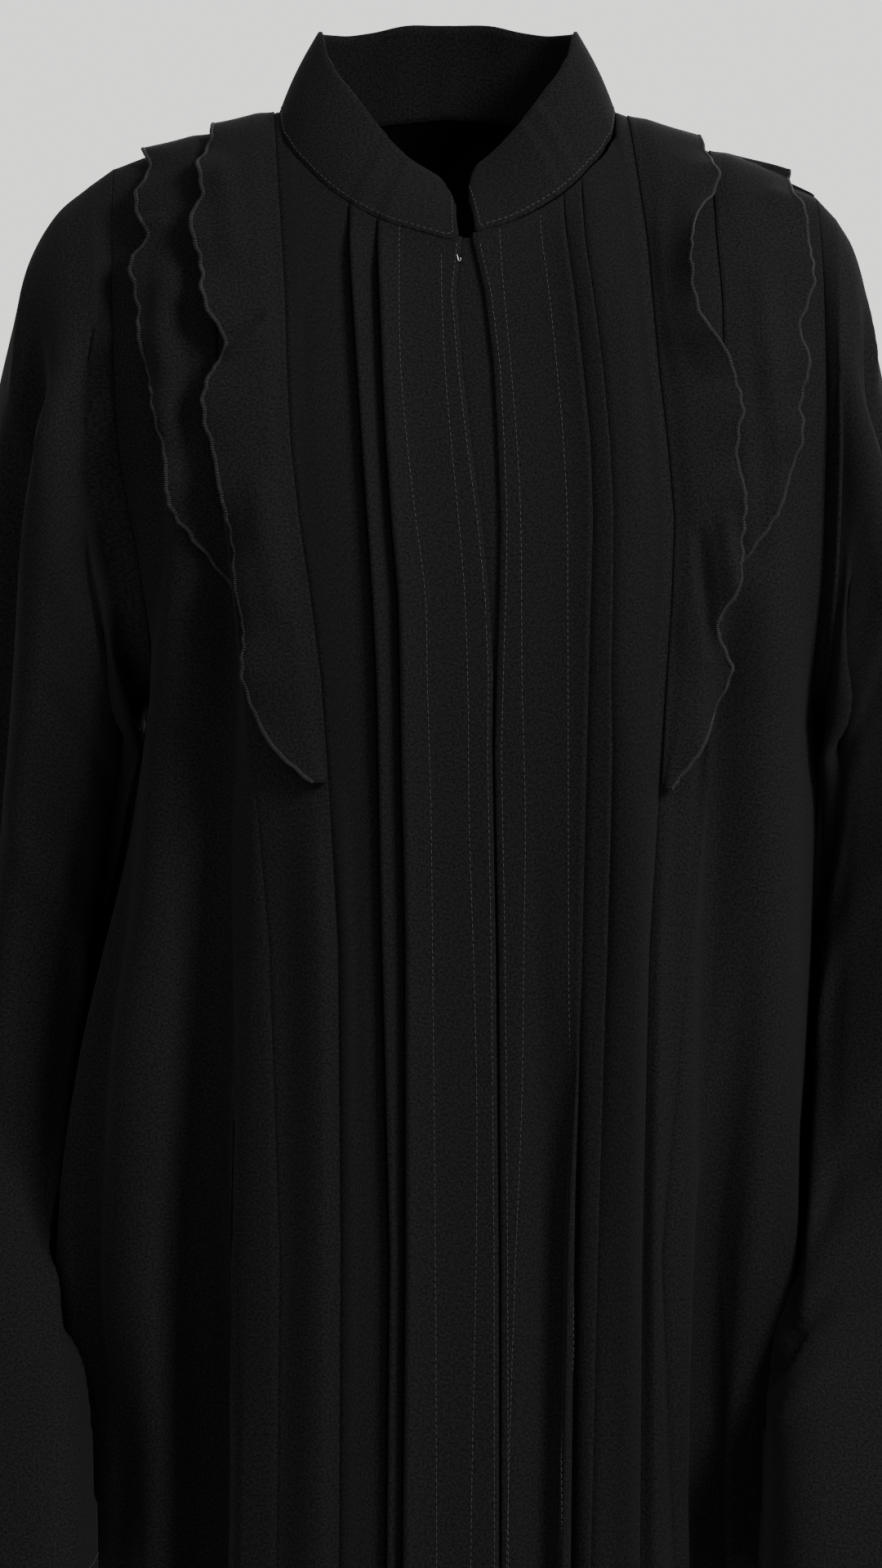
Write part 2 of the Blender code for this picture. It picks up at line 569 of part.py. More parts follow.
def back_panel():
    """The plain back, from one armhole and side seam round to the other."""
    neck_share = 0.377
    shares = np.concatenate([np.linspace(0, neck_share, 6), np.linspace(neck_share, 1, 7)[1:]])
    shares = np.concatenate([-shares[:0:-1], shares])
    sides = np.where(shares < 0, "right", "left")
    top_x = np.empty(len(shares))
    for c, (share, side) in enumerate(zip(shares, sides)):
        way = TOWARDS[side]
        out = float(armhole_x(side, -0.03))
        span = abs(share)
        if span < neck_share + 1e-9:
            top_x[c] = way * NECK_HALF * math.sin(math.pi / 2 * span / neck_share) ** 0.9
        else:
            top_x[c] = way * (NECK_HALF + (out - NECK_HALF) * (span - neck_share) / (1 - neck_share))
    top = top_level(top_x * (1 + 1e-6), behind=True)
    level = panel_levels(top)
    turn = np.empty_like(level)
    for c, (share, side) in enumerate(zip(shares, sides)):
        way = TOWARDS[side]
        at_top = float(np.abs(turn_at(top_x[c], top[c])))
        last = edge_turn(side, level[:, c])
        if abs(share) > 1 - 1e-9:
            turn[:, c] = way * last
            continue
        fixed = at_top / float(edge_turn(side, top[c]))
        settle = ease((top[c] - level[:, c]) / 0.35)
        turn[:, c] = way * last * (fixed + (abs(share) - fixed) * settle)
    grid = body_point(turn, level, behind=True)
    normals = body_normal(turn, level, behind=True)
    flatten_seams(normals, grid, turn)
    return wall("back", grid[:, ::-1], normals[:, ::-1], CLOTH)


def underlap():
    """The strip under both front edges."""
    reach = 0.011
    shifts = np.array([-reach, 0.0, 0.5, 1.0, reach])
    middle_top, below_neckline = 0.0102, 0.0005
    top = np.full(5, float(neckline_level(np.array(middle_top))) - below_neckline)
    level = panel_levels(top)
    right, left = column_x("edge_right", level[:, 0], "right"), column_x("edge_left", level[:, 0], "left")
    x = np.empty_like(level)
    for c, shift in enumerate(shifts):
        if c == 0 or c == 4:
            x[:, c] = (right if c == 0 else left) + shift
        else:
            x[:, c] = right + (left - right) * shift
    turn = turn_at(x, level)
    grid = body_point(turn, level)
    normals = grid_normals(grid)
    clear_of_folds = 0.0008
    under = CLOTH + SEAM_GAP + clear_of_folds
    return wall("underlap_strip", grid - under * normals, normals, CLOTH)


def collar():
    """The stand band, from its right front end round the back to its left one."""
    front_steps, back_steps = 13, 18
    share = np.sin(np.pi / 2 * np.linspace(0, 1, front_steps + 1))
    to_right = COLLAR_END["right"] + (-NECK_HALF - COLLAR_END["right"]) * share
    to_left = COLLAR_END["left"] + (NECK_HALF - COLLAR_END["left"]) * share
    over_back = -NECK_HALF * np.cos(np.linspace(0, np.pi, back_steps + 1))[1:-1]
    x = np.concatenate([to_right, over_back, to_left[::-1]])
    behind = np.zeros(len(x), bool)
    behind[front_steps + 1 : front_steps + back_steps] = True
    level = np.where(behind, neckline_level(x, True), neckline_level(x, False))
    turn = turn_at(x, level)
    seam = np.where(behind[:, None], body_point(turn, level, True), body_point(turn, level, False))
    facing = np.where(behind[:, None], body_normal(turn, level, True), body_normal(turn, level, False))
    along = unit(np.gradient(seam, axis=0))
    seam = seam + COLLAR_LIFT * unit(np.cross(along, facing))
    way_round = np.degrees(np.arctan2(np.abs(seam[:, 0]), -seam[:, 1]))
    rise = smooth(COLLAR, "rise", way_round, key="turn")
    inward = smooth(COLLAR, "inward", way_round, key="turn")
    aim = unit(np.stack([-seam[:, 0], -seam[:, 1] - 0.01, np.zeros(len(x))], axis=-1))
    run = np.cumsum(np.r_[0, np.linalg.norm(np.diff(seam, axis=0), axis=1)])
    corner = np.clip(np.minimum(run, run[-1] - run) / COLLAR_CORNER, 0, 1)
    full = 0.50 + 0.50 * np.sqrt(np.maximum(1 - (1 - corner) ** 2, 0))
    belly = 0.0016
    rows = []
    for part in np.linspace(1, 0, 5):
        up = part * full
        bulge = belly * math.sin(math.pi * part)
        rows.append(seam + aim * (inward * up - bulge)[:, None] + np.array([0, 0, 1]) * (rise * up)[:, None])
    grid = np.array(rows)
    return wall("collar_stand", grid, grid_normals(grid), BAND)


def sleeve(side):
    """A sleeve set into the armhole point to point, then falling as rings to its cuff."""
    way = TOWARDS[side]
    rings = SLEEVES[side]
    steps = ARMHOLE_STEPS
    top, bottom = shoulder_end(side), underarm(side)
    half_turn = np.pi * np.arange(steps + 1) / steps
    around = np.concatenate([half_turn, 2 * np.pi - half_turn[-2:0:-1]])
    share = (1 - np.cos(around)) / 2
    level = top + (bottom - top) * share
    behind = around > np.pi + 1e-9
    turn = edge_turn(side, level) * way
    seam = np.where(behind[:, None], body_point(turn, level, True), body_point(turn, level, False))
    facing = np.where(behind[:, None], body_normal(turn, level, True), body_normal(turn, level, False))
    tips = np.abs(np.sin(around)) < 1e-9
    seam[tips, 1] = 0
    facing[tips, 1] = 0
    least, more_where_level = 0.0005, 0.0030
    shift = least + more_where_level * unit(facing)[:, 0] ** 2
    seam[:, 0] += way * shift
    loop_y, loop_deep = seam[:, 1], np.abs(seam[:, 1]).max()
    count = len(rings["deep"])
    grid = [seam]
    for k in range(count):
        blend = ease((k + 1) / 5)  # from the armhole's outline to a plain ring
        # The side that lies on the body is flatter, as cloth hanging against cloth is
        squarer = np.where(np.cos(around) < 0, 1 / (1 + ease((k - 5) / 4)), 1)
        cosine = np.sign(np.cos(around)) * np.abs(np.cos(around)) ** squarer
        sine = np.sign(np.sin(around)) * np.abs(np.sin(around)) ** squarer
        x = rings["outer_x"][k] + (rings["inner_x"][k] - rings["outer_x"][k]) * (1 - cosine) / 2
        z = rings["outer_z"][k] + (rings["inner_z"][k] - rings["outer_z"][k]) * (1 - cosine) / 2
        deep = rings["deep"][k]
        y = (1 - blend) * loop_y * deep / loop_deep - blend * deep * sine
        grid.append(np.stack([x, rings["middle_y"][k] + y, z], axis=-1))
    grid = np.array(grid)
    normals = ring_normals(grid, way)
    grid = grid + sleeve_relief(side, np.degrees(around), count + 1)[..., None] * normals
    grid[FIRST_BESIDE_BODY:] = beside_body(grid[FIRST_BESIDE_BODY:], side)
    normals = ring_normals(grid, way)
    if way > 0:
        grid, normals = grid[:, ::-1], normals[:, ::-1]
    return wall(f"sleeve_{side}", grid, normals, CLOTH, looped=True)


def beside_body(points, side):
    """Keeps a sleeve's points beside the body: outside its contour at their own level."""
    way = TOWARDS[side]
    limit = np.zeros(points.shape[:-1])
    for behind in (False, True):
        contour = body_point(way * CONTOUR_TURNS, points[..., 2:], behind)
        apart = np.abs(contour[..., 1] - points[..., 1:2])
        round_it = np.sqrt(np.maximum(BESIDE_BODY**2 - apart**2, 0))
        beyond = np.where(apart < BESIDE_BODY, way * contour[..., 0] + round_it, 0)
        limit = np.maximum(limit, beyond.max(axis=-1))
    points[..., 0] = way * np.maximum(way * points[..., 0], limit)
    return points


def ring_normals(grid, way):
    return -way * grid_normals(grid, looped=True)


def sleeve_relief(side, around, rows):
    folds = SLEEVE_FOLDS[side]
    row = np.arange(rows, dtype=float)[:, None]
    lift = np.zeros((rows, len(around)))
    for i, start in enumerate(folds["start"]):
        first, last = folds["from_row"][i], folds["to_row"][i]
        run = np.clip((row - first) / (last - first), 0, 1)
        middle = start + (folds["end"][i] - start) * run
        off = np.abs((around[None, :] - middle + 180) % 360 - 180)
        across = np.clip(off / folds["half_width"][i], 0, 1)
        stays = 1.0 if last >= rows - 2 else ease((last - row) / 3)
        lift += folds["height"][i] * ease((row - first) / 3) * stays * (0.5 + 0.5 * np.cos(np.pi * across))
    return lift


def ruffle(name, plan):
    """A single-layer ruffle, sewn in a seam and standing off the front in waves."""
    side, way, edge = plan["side"], TOWARDS[plan["side"]], plan["edge"]
    waves = np.array(plan["waves"])
    first, last = float(edge["level"][0]), float(edge["level"][-1])
    levels_down = []
    for k in range(len(waves) - 1):
        levels_down += list(np.linspace(waves[k], waves[k + 1], 5)[:-1])
    fall = np.append((np.array(levels_down) - first) / (last - first), RUFFLE_END)
    across = np.array([0.0, 0.22, 0.48, 0.74, 1.0])
    top_seam = float(column_x(plan["seam"], 0.01, side))
    top_edge = float(edge["x"][0])
    below_shoulder = 0.0002
    top_x = top_seam + way * BESIDE_SEAM + (top_edge - top_seam) * across
    top = shoulder_level(top_x) - below_shoulder
    level = top[None, :] + (last - top[None, :]) * fall[:, None]
    count = np.interp(-level, -waves, np.arange(len(waves), dtype=float))
    seam_x = column_x(plan["seam"], level, side) + way * BESIDE_SEAM
    edge_x = smooth(edge, "x", level)
    x = seam_x + (edge_x - seam_x) * across[None, :]
    turn = turn_at(x, level)
    base = body_point(turn, level)
    normals = body_normal(turn, level)
    normals[0, :, 1] = 0
    normals = unit(normals)
    stand, size = smooth(edge, "stand", level), np.maximum(smooth(edge, "wave", level), 0)
    round_the_top = 0.003 * (1 - ease((top[None, :] - level) / 0.05))
    clear_of_cloth = 0.0005
    lowest = (CLOTH + RUFFLE) / 2 + SEAM_GAP + clear_of_cloth + round_the_top
    over_next_seam = 0.0026 if plan["seam"] in ("seam_a", "seam_d") else 0.0
    lean = across[None, :] ** 1.15
    wave = 0.5 - 0.5 * np.cos(2 * np.pi * count)
    height = lowest + over_next_seam * across[None, :] ** 0.5 + lean * (stand + size * (wave - 0.4))
    grid = base + np.maximum(height, lowest)[..., None] * normals
    if way < 0:
        grid = grid[:, ::-1]
    return wall(name, grid, grid_normals(grid), RUFFLE)


def build():
    for thing in list(bpy.data.objects):
        bpy.data.objects.remove(thing)
    collar()
    front_panel(
        "front_right", "right",
        ["edge_right", "pleat_r1 0.0", "pleat_r1 -0.0032", "pleat_r2 0.0", "pleat_r2 -0.0032",
         "seam_a 0.0105", "seam_a 0.006", "seam_a 0.003", "seam_a"],
        [4, 1, 2, 1, 3, 1, 1, 1],
    )
    front_panel(
        "front_left", "left",
        ["edge_left", "pleat_l1 0.0", "pleat_l1 0.0032", "pleat_l2 0.0", "pleat_l2 0.0032",
         "seam_d -0.0055", "seam_d"],
        [5, 1, 1, 1, 4, 1],
    )
    underlap()
    front_panel("front_right_middle", "right", ["seam_a", "seam_b"], [4])
    front_panel("front_left_middle", "left", ["seam_d", "seam_e"], [4])
    front_panel("front_right_side", "right", ["seam_b", "armhole"], [8])
    front_panel("front_left_side", "left", ["seam_e", "armhole"], [8])
    back_panel()
    for side in ("right", "left"):
        sleeve(side)
    for name, plan in RUFFLES.items():
        ruffle(name, plan)


build()
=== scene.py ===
# %% [markdown]
# An abaya is a long loose cloak, open down the front and worn over other clothes. This one is cut in
# black crepe: a stand collar, two narrow knife pleats on each front, and four ruffles sewn into the
# seams from the shoulder down. Here each CAD solid gets its fine cloth: a thin shell on the same form,
# with soft creases, sharp pleats, fluted ruffles and the sewing that holds it all together.

# %% Load the frame
import math

import bpy
import numpy as np
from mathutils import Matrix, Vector


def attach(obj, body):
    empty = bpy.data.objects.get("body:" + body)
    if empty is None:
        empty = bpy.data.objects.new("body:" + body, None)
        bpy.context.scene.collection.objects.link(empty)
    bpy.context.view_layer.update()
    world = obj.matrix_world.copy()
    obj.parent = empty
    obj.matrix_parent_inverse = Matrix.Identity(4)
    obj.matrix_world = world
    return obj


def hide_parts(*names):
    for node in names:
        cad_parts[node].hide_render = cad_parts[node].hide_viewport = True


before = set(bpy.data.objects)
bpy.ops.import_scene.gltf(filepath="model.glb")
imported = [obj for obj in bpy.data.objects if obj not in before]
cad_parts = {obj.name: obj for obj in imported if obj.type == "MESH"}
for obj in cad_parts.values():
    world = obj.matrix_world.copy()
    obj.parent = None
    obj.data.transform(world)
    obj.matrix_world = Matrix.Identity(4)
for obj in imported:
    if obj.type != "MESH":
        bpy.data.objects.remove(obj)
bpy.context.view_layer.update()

# %% [markdown]
# The fine cloth has to lie on the solids, so it starts from the same measured sizes. A garment maker
# works from a size chart too: a few named numbers, from which every piece is drawn.

# %% Driving sizes
CLOTH = 0.0016  # wall of the solids' cloth
SEAM_GAP = 0.0003  # between pieces that are sewn together
HEM_LEVEL = -1.36
UNDERARM = -0.3125
NECK_HALF = 0.0905  # half the width of the neckline
SHOULDER_TOP = 0.0075  # height of the shoulder seam at the neck
SHOULDER_SLOPE = {"right": 0.347, "left": 0.43}
SHOULDER_ROUND = {"front": 0.13, "back": 0.11}  # how far down the cloth takes to hang straight
SQUARENESS = 2.3  # 2 would make each level an ellipse
ARMHOLE_SPREAD = 0.24  # how much wider than the armhole the figure is taken to be above it
ARMHOLE_RISE = 0.14  # over what height it widens
ARMHOLE_STEPS = 13  # rows of cloth from shoulder to underarm
COLLAR_END = {"right": 0.0052, "left": 0.0152}  # the band's front ends
COLLAR_CORNER = 0.016  # how far its rounded corners reach
BESIDE_SEAM = 0.0004  # from the sewn edge of a ruffle or a sleeve to the seam's middle
RUFFLE_END = 0.985  # a ruffle stops short of its point, which would be too thin
CONTOUR_TURNS = np.linspace(30, 90, 90)  # where the body can meet a sleeve
TOWARDS = {"right": -1, "left": 1}
FINE_CLOTH = 0.0010  # thickness of the visible cloth
FINE_RUFFLE = 0.0007
FINE_BAND = 0.0022  # the stiffened collar
FINE_COLLAR_LIFT = 0.0008  # the collar's band meets the cloth it is sewn to
BESIDE_BODY = 0.0052  # from the middle of a sleeve's cloth to the middle of the body's
DEEPER = 0.6  # how much deeper the fine folds are than those of the solids
DEEPER_FROM = 0.5  # height above the hem from which they have their full depth
CLOSER = 0.010  # how much further in the fine sleeve reaches below the underarm, to lie on the body
UNDERARM_FILL = 0.006  # the cloth below the armhole goes out to meet the sleeve
ARMHOLE_TROUGH = {"right": 0.024, "left": 0.004}  # the sleeve drops in beside the armhole in front
TOP_OF_LINES = 0.01  # the level at which a column's place along the shoulder is read
ABOVE_CLOTH = 0.0001  # thread lies this much above the cloth


def table(names, *rows):
    """A small table as one array for each named column."""
    return dict(zip(names.split(), np.array(rows, float).T))

# %% [markdown]
# The cloak hangs on a general figure. Each row of this table is one level of it: how wide the cloth is
# at the side seams, how wide it is further in, and how far it stands forward and back.

# %% The figure under the cloth
# right and left are half widths at the armhole and side seams, and the full ones hold away from them
SECTIONS = table(
    "level right left right_full left_full front back",
    (0.040, 0.180, 0.190, 0.212, 0.228, 0.055, 0.070),
    (0.000, 0.180, 0.195, 0.212, 0.230, 0.066, 0.098),
    (-0.030, 0.180, 0.198, 0.212, 0.232, 0.073, 0.105),
    (-0.070, 0.179, 0.200, 0.211, 0.233, 0.084, 0.112),
    (-0.120, 0.177, 0.200, 0.209, 0.232, 0.102, 0.120),
    (-0.180, 0.173, 0.200, 0.204, 0.228, 0.121, 0.126),
    (-0.240, 0.162, 0.199, 0.198, 0.222, 0.133, 0.125),
    (-0.3125, 0.155, 0.192, 0.191, 0.215, 0.138, 0.120),
    (-0.375, 0.168, 0.198, 0.188, 0.208, 0.138, 0.114),
    (-0.430, 0.181, 0.197, 0.190, 0.202, 0.138, 0.112),
    (-0.530, 0.197, 0.192, 0.198, 0.194, 0.142, 0.116),
    (-0.610, 0.202, 0.185, 0.202, 0.186, 0.147, 0.122),
    (-0.710, 0.195, 0.178, 0.196, 0.180, 0.154, 0.132),
    (-0.800, 0.199, 0.182, 0.200, 0.184, 0.161, 0.142),
    (-0.950, 0.224, 0.206, 0.224, 0.206, 0.173, 0.158),
    (-1.150, 0.262, 0.248, 0.262, 0.248, 0.191, 0.180),
    (-1.360, 0.302, 0.290, 0.302, 0.290, 0.211, 0.203),
)
print("levels of the figure:", len(SECTIONS["level"]))

# %% [markdown]
# Seen from the front, the edges, the folded edges of the pleats and the seams are lines that run from
# shoulder to hem. They were measured in the front view, and the cloth's columns follow them.

# %% Lines of the fronts, neckline and collar
LINES = table(
    "level edge_right pleat_r1 pleat_r2 seam_a seam_b edge_left pleat_l1 pleat_l2 seam_d seam_e",
    (0.01, 0.0072, -0.0355, -0.0508, -0.0935, -0.1275, 0.0132, 0.0580, 0.0680, 0.0960, 0.1400),
    (-0.07, 0.0072, -0.0355, -0.0502, -0.0872, -0.1235, 0.0132, 0.0603, 0.0703, 0.1053, 0.1424),
    (-0.10, 0.0042, -0.0342, -0.0483, -0.0850, -0.1217, 0.0196, 0.0639, 0.0742, 0.1071, 0.1442),
    (-0.14, 0.0074, -0.0325, -0.0456, -0.0835, -0.1194, 0.0241, 0.0677, 0.0787, 0.1100, 0.1441),
    (-0.18, 0.0119, -0.0304, -0.0429, -0.0812, -0.1168, 0.0260, 0.0712, 0.0819, 0.1141, 0.1433),
    (-0.22, 0.0172, -0.0276, -0.0400, -0.0765, -0.1137, 0.0274, 0.0722, 0.0833, 0.1171, 0.1424),
    (-0.26, 0.0212, -0.0240, -0.0373, -0.0704, -0.1096, 0.0267, 0.0709, 0.0827, 0.1155, 0.1412),
    (-0.30, 0.0229, -0.0229, -0.0352, -0.0652, -0.1054, 0.0254, 0.0698, 0.0817, 0.1127, 0.1391),
    (-0.34, 0.0224, -0.0223, -0.0342, -0.0622, -0.1006, 0.0243, 0.0688, 0.0818, 0.1102, 0.1364),
    (-0.44, 0.0243, -0.0202, -0.0323, -0.0563, -0.0918, 0.0262, 0.0665, 0.0794, 0.1038, 0.1246),
    (-0.60, 0.0257, -0.0199, -0.0283, -0.0549, -0.0860, 0.0274, 0.0628, 0.0745, 0.0998, 0.1100),
    (-0.78, 0.0257, -0.0215, -0.0300, -0.0555, -0.0875, 0.0276, 0.0600, 0.0700, 0.0980, 0.1170),
    (-1.36, 0.0257, -0.0330, -0.0520, -0.0950, -0.1560, 0.0276, 0.0700, 0.0920, 0.1380, 0.1980),
)
# The seam round the neck, as a share of the half width and the height, in front and behind
NECKLINE_FRONT = table(
    "share level",
    (0.0, -0.0712), (0.19, -0.0662), (0.40, -0.0596), (0.56, -0.0512), (0.68, -0.0432),
    (0.83, -0.0290), (0.94, -0.0150), (0.985, -0.0040), (1.0, 0.0075),
)
NECKLINE_BACK = table(
    "share level",
    (0.0, 0.0110), (0.35, 0.0078), (0.60, 0.0040), (0.80, 0.0030), (0.95, 0.0055), (1.0, 0.0075),
)
# Collar: its top edge above and inside the seam, by the way round from centre front to centre back
COLLAR = table(
    "turn rise inward",
    (0, 0.0330, 0.0300), (25, 0.0360, 0.0285), (50, 0.0420, 0.0255), (75, 0.0435, 0.0225),
    (92, 0.0425, 0.0205), (115, 0.0490, 0.0175), (145, 0.0515, 0.0145), (180, 0.0490, 0.0120),
)

# %% [markdown]
# Hanging cloth falls in a few large soft folds. Each is a cosine ridge or trough that starts somewhere
# below the shoulder and deepens towards the hem.

# %% Large folds
# Turns are degrees round the figure, and grow_from is the share of its length that it grows over
FOLDS = table(
    "start_level start_turn end_turn half_width height grow_from",
    (-0.36, -41, -44, 7, -0.0110, 0.30),
    (-0.36, -31, -31, 4, 0.0040, 0.35),
    (-0.30, -66, -72, 9, 0.0090, 0.25),
    (-0.55, -57, -58, 8, -0.0120, 0.80),
    (-0.72, -20, -19, 7, 0.0160, 1.00),
    (-0.36, 51, 45, 6, -0.0090, 0.45),
    (-0.40, 66, 70, 9, 0.0090, 0.40),
    (-0.62, 58, 57, 8, -0.0120, 0.90),
    (-0.72, 27, 27, 7, 0.0160, 1.00),
    (-0.80, 4, 4, 8, -0.0120, 1.00),
)
BACK_FOLDS = table(
    "start_level start_turn end_turn half_width height grow_from",
    (-0.32, -70, -70, 10, 0.0100, 0.40),
    (-0.40, -50, -52, 9, -0.0140, 0.70),
    (-0.30, -33, -34, 9, 0.0130, 0.60),
    (-0.50, -16, -16, 8, -0.0130, 0.90),
    (-0.34, 2, 1, 8, 0.0120, 0.80),
    (-0.52, 18, 19, 8, -0.0150, 0.90),
    (-0.30, 36, 37, 9, 0.0130, 0.50),
    (-0.40, 54, 55, 9, -0.0140, 0.70),
    (-0.34, 71, 71, 9, 0.0100, 0.50),
)

# %% [markdown]
# A sleeve is a tube. Its rings tilt where the arm bends, and the armhole end meets the body point to
# point, so the same share of the way down is used on both.

# %% Rings of the sleeves
# Each ring goes from its outer point to its inner one
SLEEVES = {
    "right": table(
        "outer_x outer_z inner_x inner_z middle_y deep",
        (-0.1935, -0.0330, -0.1635, -0.3140, 0.000, 0.085),
        (-0.2116, -0.0487, -0.1675, -0.3190, 0.000, 0.084),
        (-0.2262, -0.0748, -0.1705, -0.3265, 0.000, 0.082),
        (-0.2345, -0.1080, -0.1700, -0.3350, 0.002, 0.080),
        (-0.2440, -0.1480, -0.1690, -0.3440, 0.005, 0.078),
        (-0.2530, -0.1950, -0.1670, -0.3540, 0.011, 0.077),
        (-0.2610, -0.2500, -0.1660, -0.3680, 0.018, 0.077),
        (-0.2680, -0.3100, -0.1680, -0.3900, 0.029, 0.078),
        (-0.2740, -0.3750, -0.1720, -0.4250, 0.038, 0.078),
        (-0.2800, -0.4450, -0.1780, -0.4750, 0.041, 0.078),
        (-0.2860, -0.5200, -0.1860, -0.5350, 0.033, 0.079),
        (-0.2890, -0.5900, -0.1910, -0.5920, 0.010, 0.080),
        (-0.2887, -0.6200, -0.1912, -0.6180, -0.006, 0.081),
        (-0.2878, -0.6500, -0.1905, -0.6440, -0.023, 0.081),
        (-0.2866, -0.6750, -0.1890, -0.6670, -0.041, 0.081),
        (-0.2850, -0.6990, -0.1870, -0.6880, -0.058, 0.081),
        (-0.2820, -0.7430, -0.1840, -0.7290, -0.085, 0.081),
        (-0.2790, -0.7850, -0.1820, -0.7690, -0.105, 0.080),
    ),
    "left": table(
        "outer_x outer_z inner_x inner_z middle_y deep",
        (0.2099, -0.0505, 0.2000, -0.3265, 0.000, 0.085),
        (0.2190, -0.0665, 0.2030, -0.3310, 0.000, 0.084),
        (0.2255, -0.0900, 0.2050, -0.3370, 0.000, 0.082),
        (0.2310, -0.1200, 0.2060, -0.3440, 0.001, 0.080),
        (0.2390, -0.1580, 0.2055, -0.3520, 0.003, 0.078),
        (0.2480, -0.2030, 0.2080, -0.3620, 0.008, 0.077),
        (0.2570, -0.2560, 0.2065, -0.3760, 0.014, 0.077),
        (0.2650, -0.3150, 0.2010, -0.3980, 0.024, 0.077),
        (0.2710, -0.3800, 0.1910, -0.4300, 0.033, 0.077),
        (0.2750, -0.4500, 0.1850, -0.4790, 0.036, 0.077),
        (0.2760, -0.5200, 0.1800, -0.5340, 0.025, 0.077),
        (0.2750, -0.5800, 0.1770, -0.5830, 0.000, 0.077),
        (0.2730, -0.6300, 0.1730, -0.6300, -0.035, 0.078),
        (0.2700, -0.6800, 0.1670, -0.6750, -0.074, 0.078),
        (0.2660, -0.7300, 0.1640, -0.7200, -0.104, 0.078),
        (0.2610, -0.7850, 0.1620, -0.7690, -0.124, 0.077),
    ),
}
# Folds that run down a sleeve: way round at the top and the cuff, 0 outside, 90 in front
SLEEVE_FOLDS = {
    "right": table(
        "start end from_row to_row half_width height",
        (50, 62, 2, 16, 20, -0.0080),
        (78, 88, 1, 15, 21, 0.0070),
        (108, 150, 3, 15, 26, -0.0120),
        (20, 25, 6, 18, 22, 0.0080),
        (215, 222, 3, 12, 25, -0.0050),
        (255, 262, 2, 18, 25, 0.0080),
        (300, 300, 5, 18, 24, -0.0080),
        (335, 338, 4, 18, 22, 0.0060),
    ),
    "left": table(
        "start end from_row to_row half_width height",
        (48, 60, 2, 11, 20, -0.0080),
        (75, 85, 1, 13, 21, 0.0070),
        (108, 150, 3, 14, 26, -0.0120),
        (18, 30, 6, 16, 22, 0.0080),
        (218, 222, 3, 16, 25, -0.0060),
        (258, 262, 2, 16, 25, 0.0090),
        (302, 300, 5, 16, 24, -0.0080),
        (338, 338, 4, 16, 22, 0.0060),
    ),
}

# %% [markdown]
# A ruffle is a strip that is longer at its free edge than at the seam, so it has to wave. The table
# gives its outline from the front, how far it stands off, and how deep its flutes are.

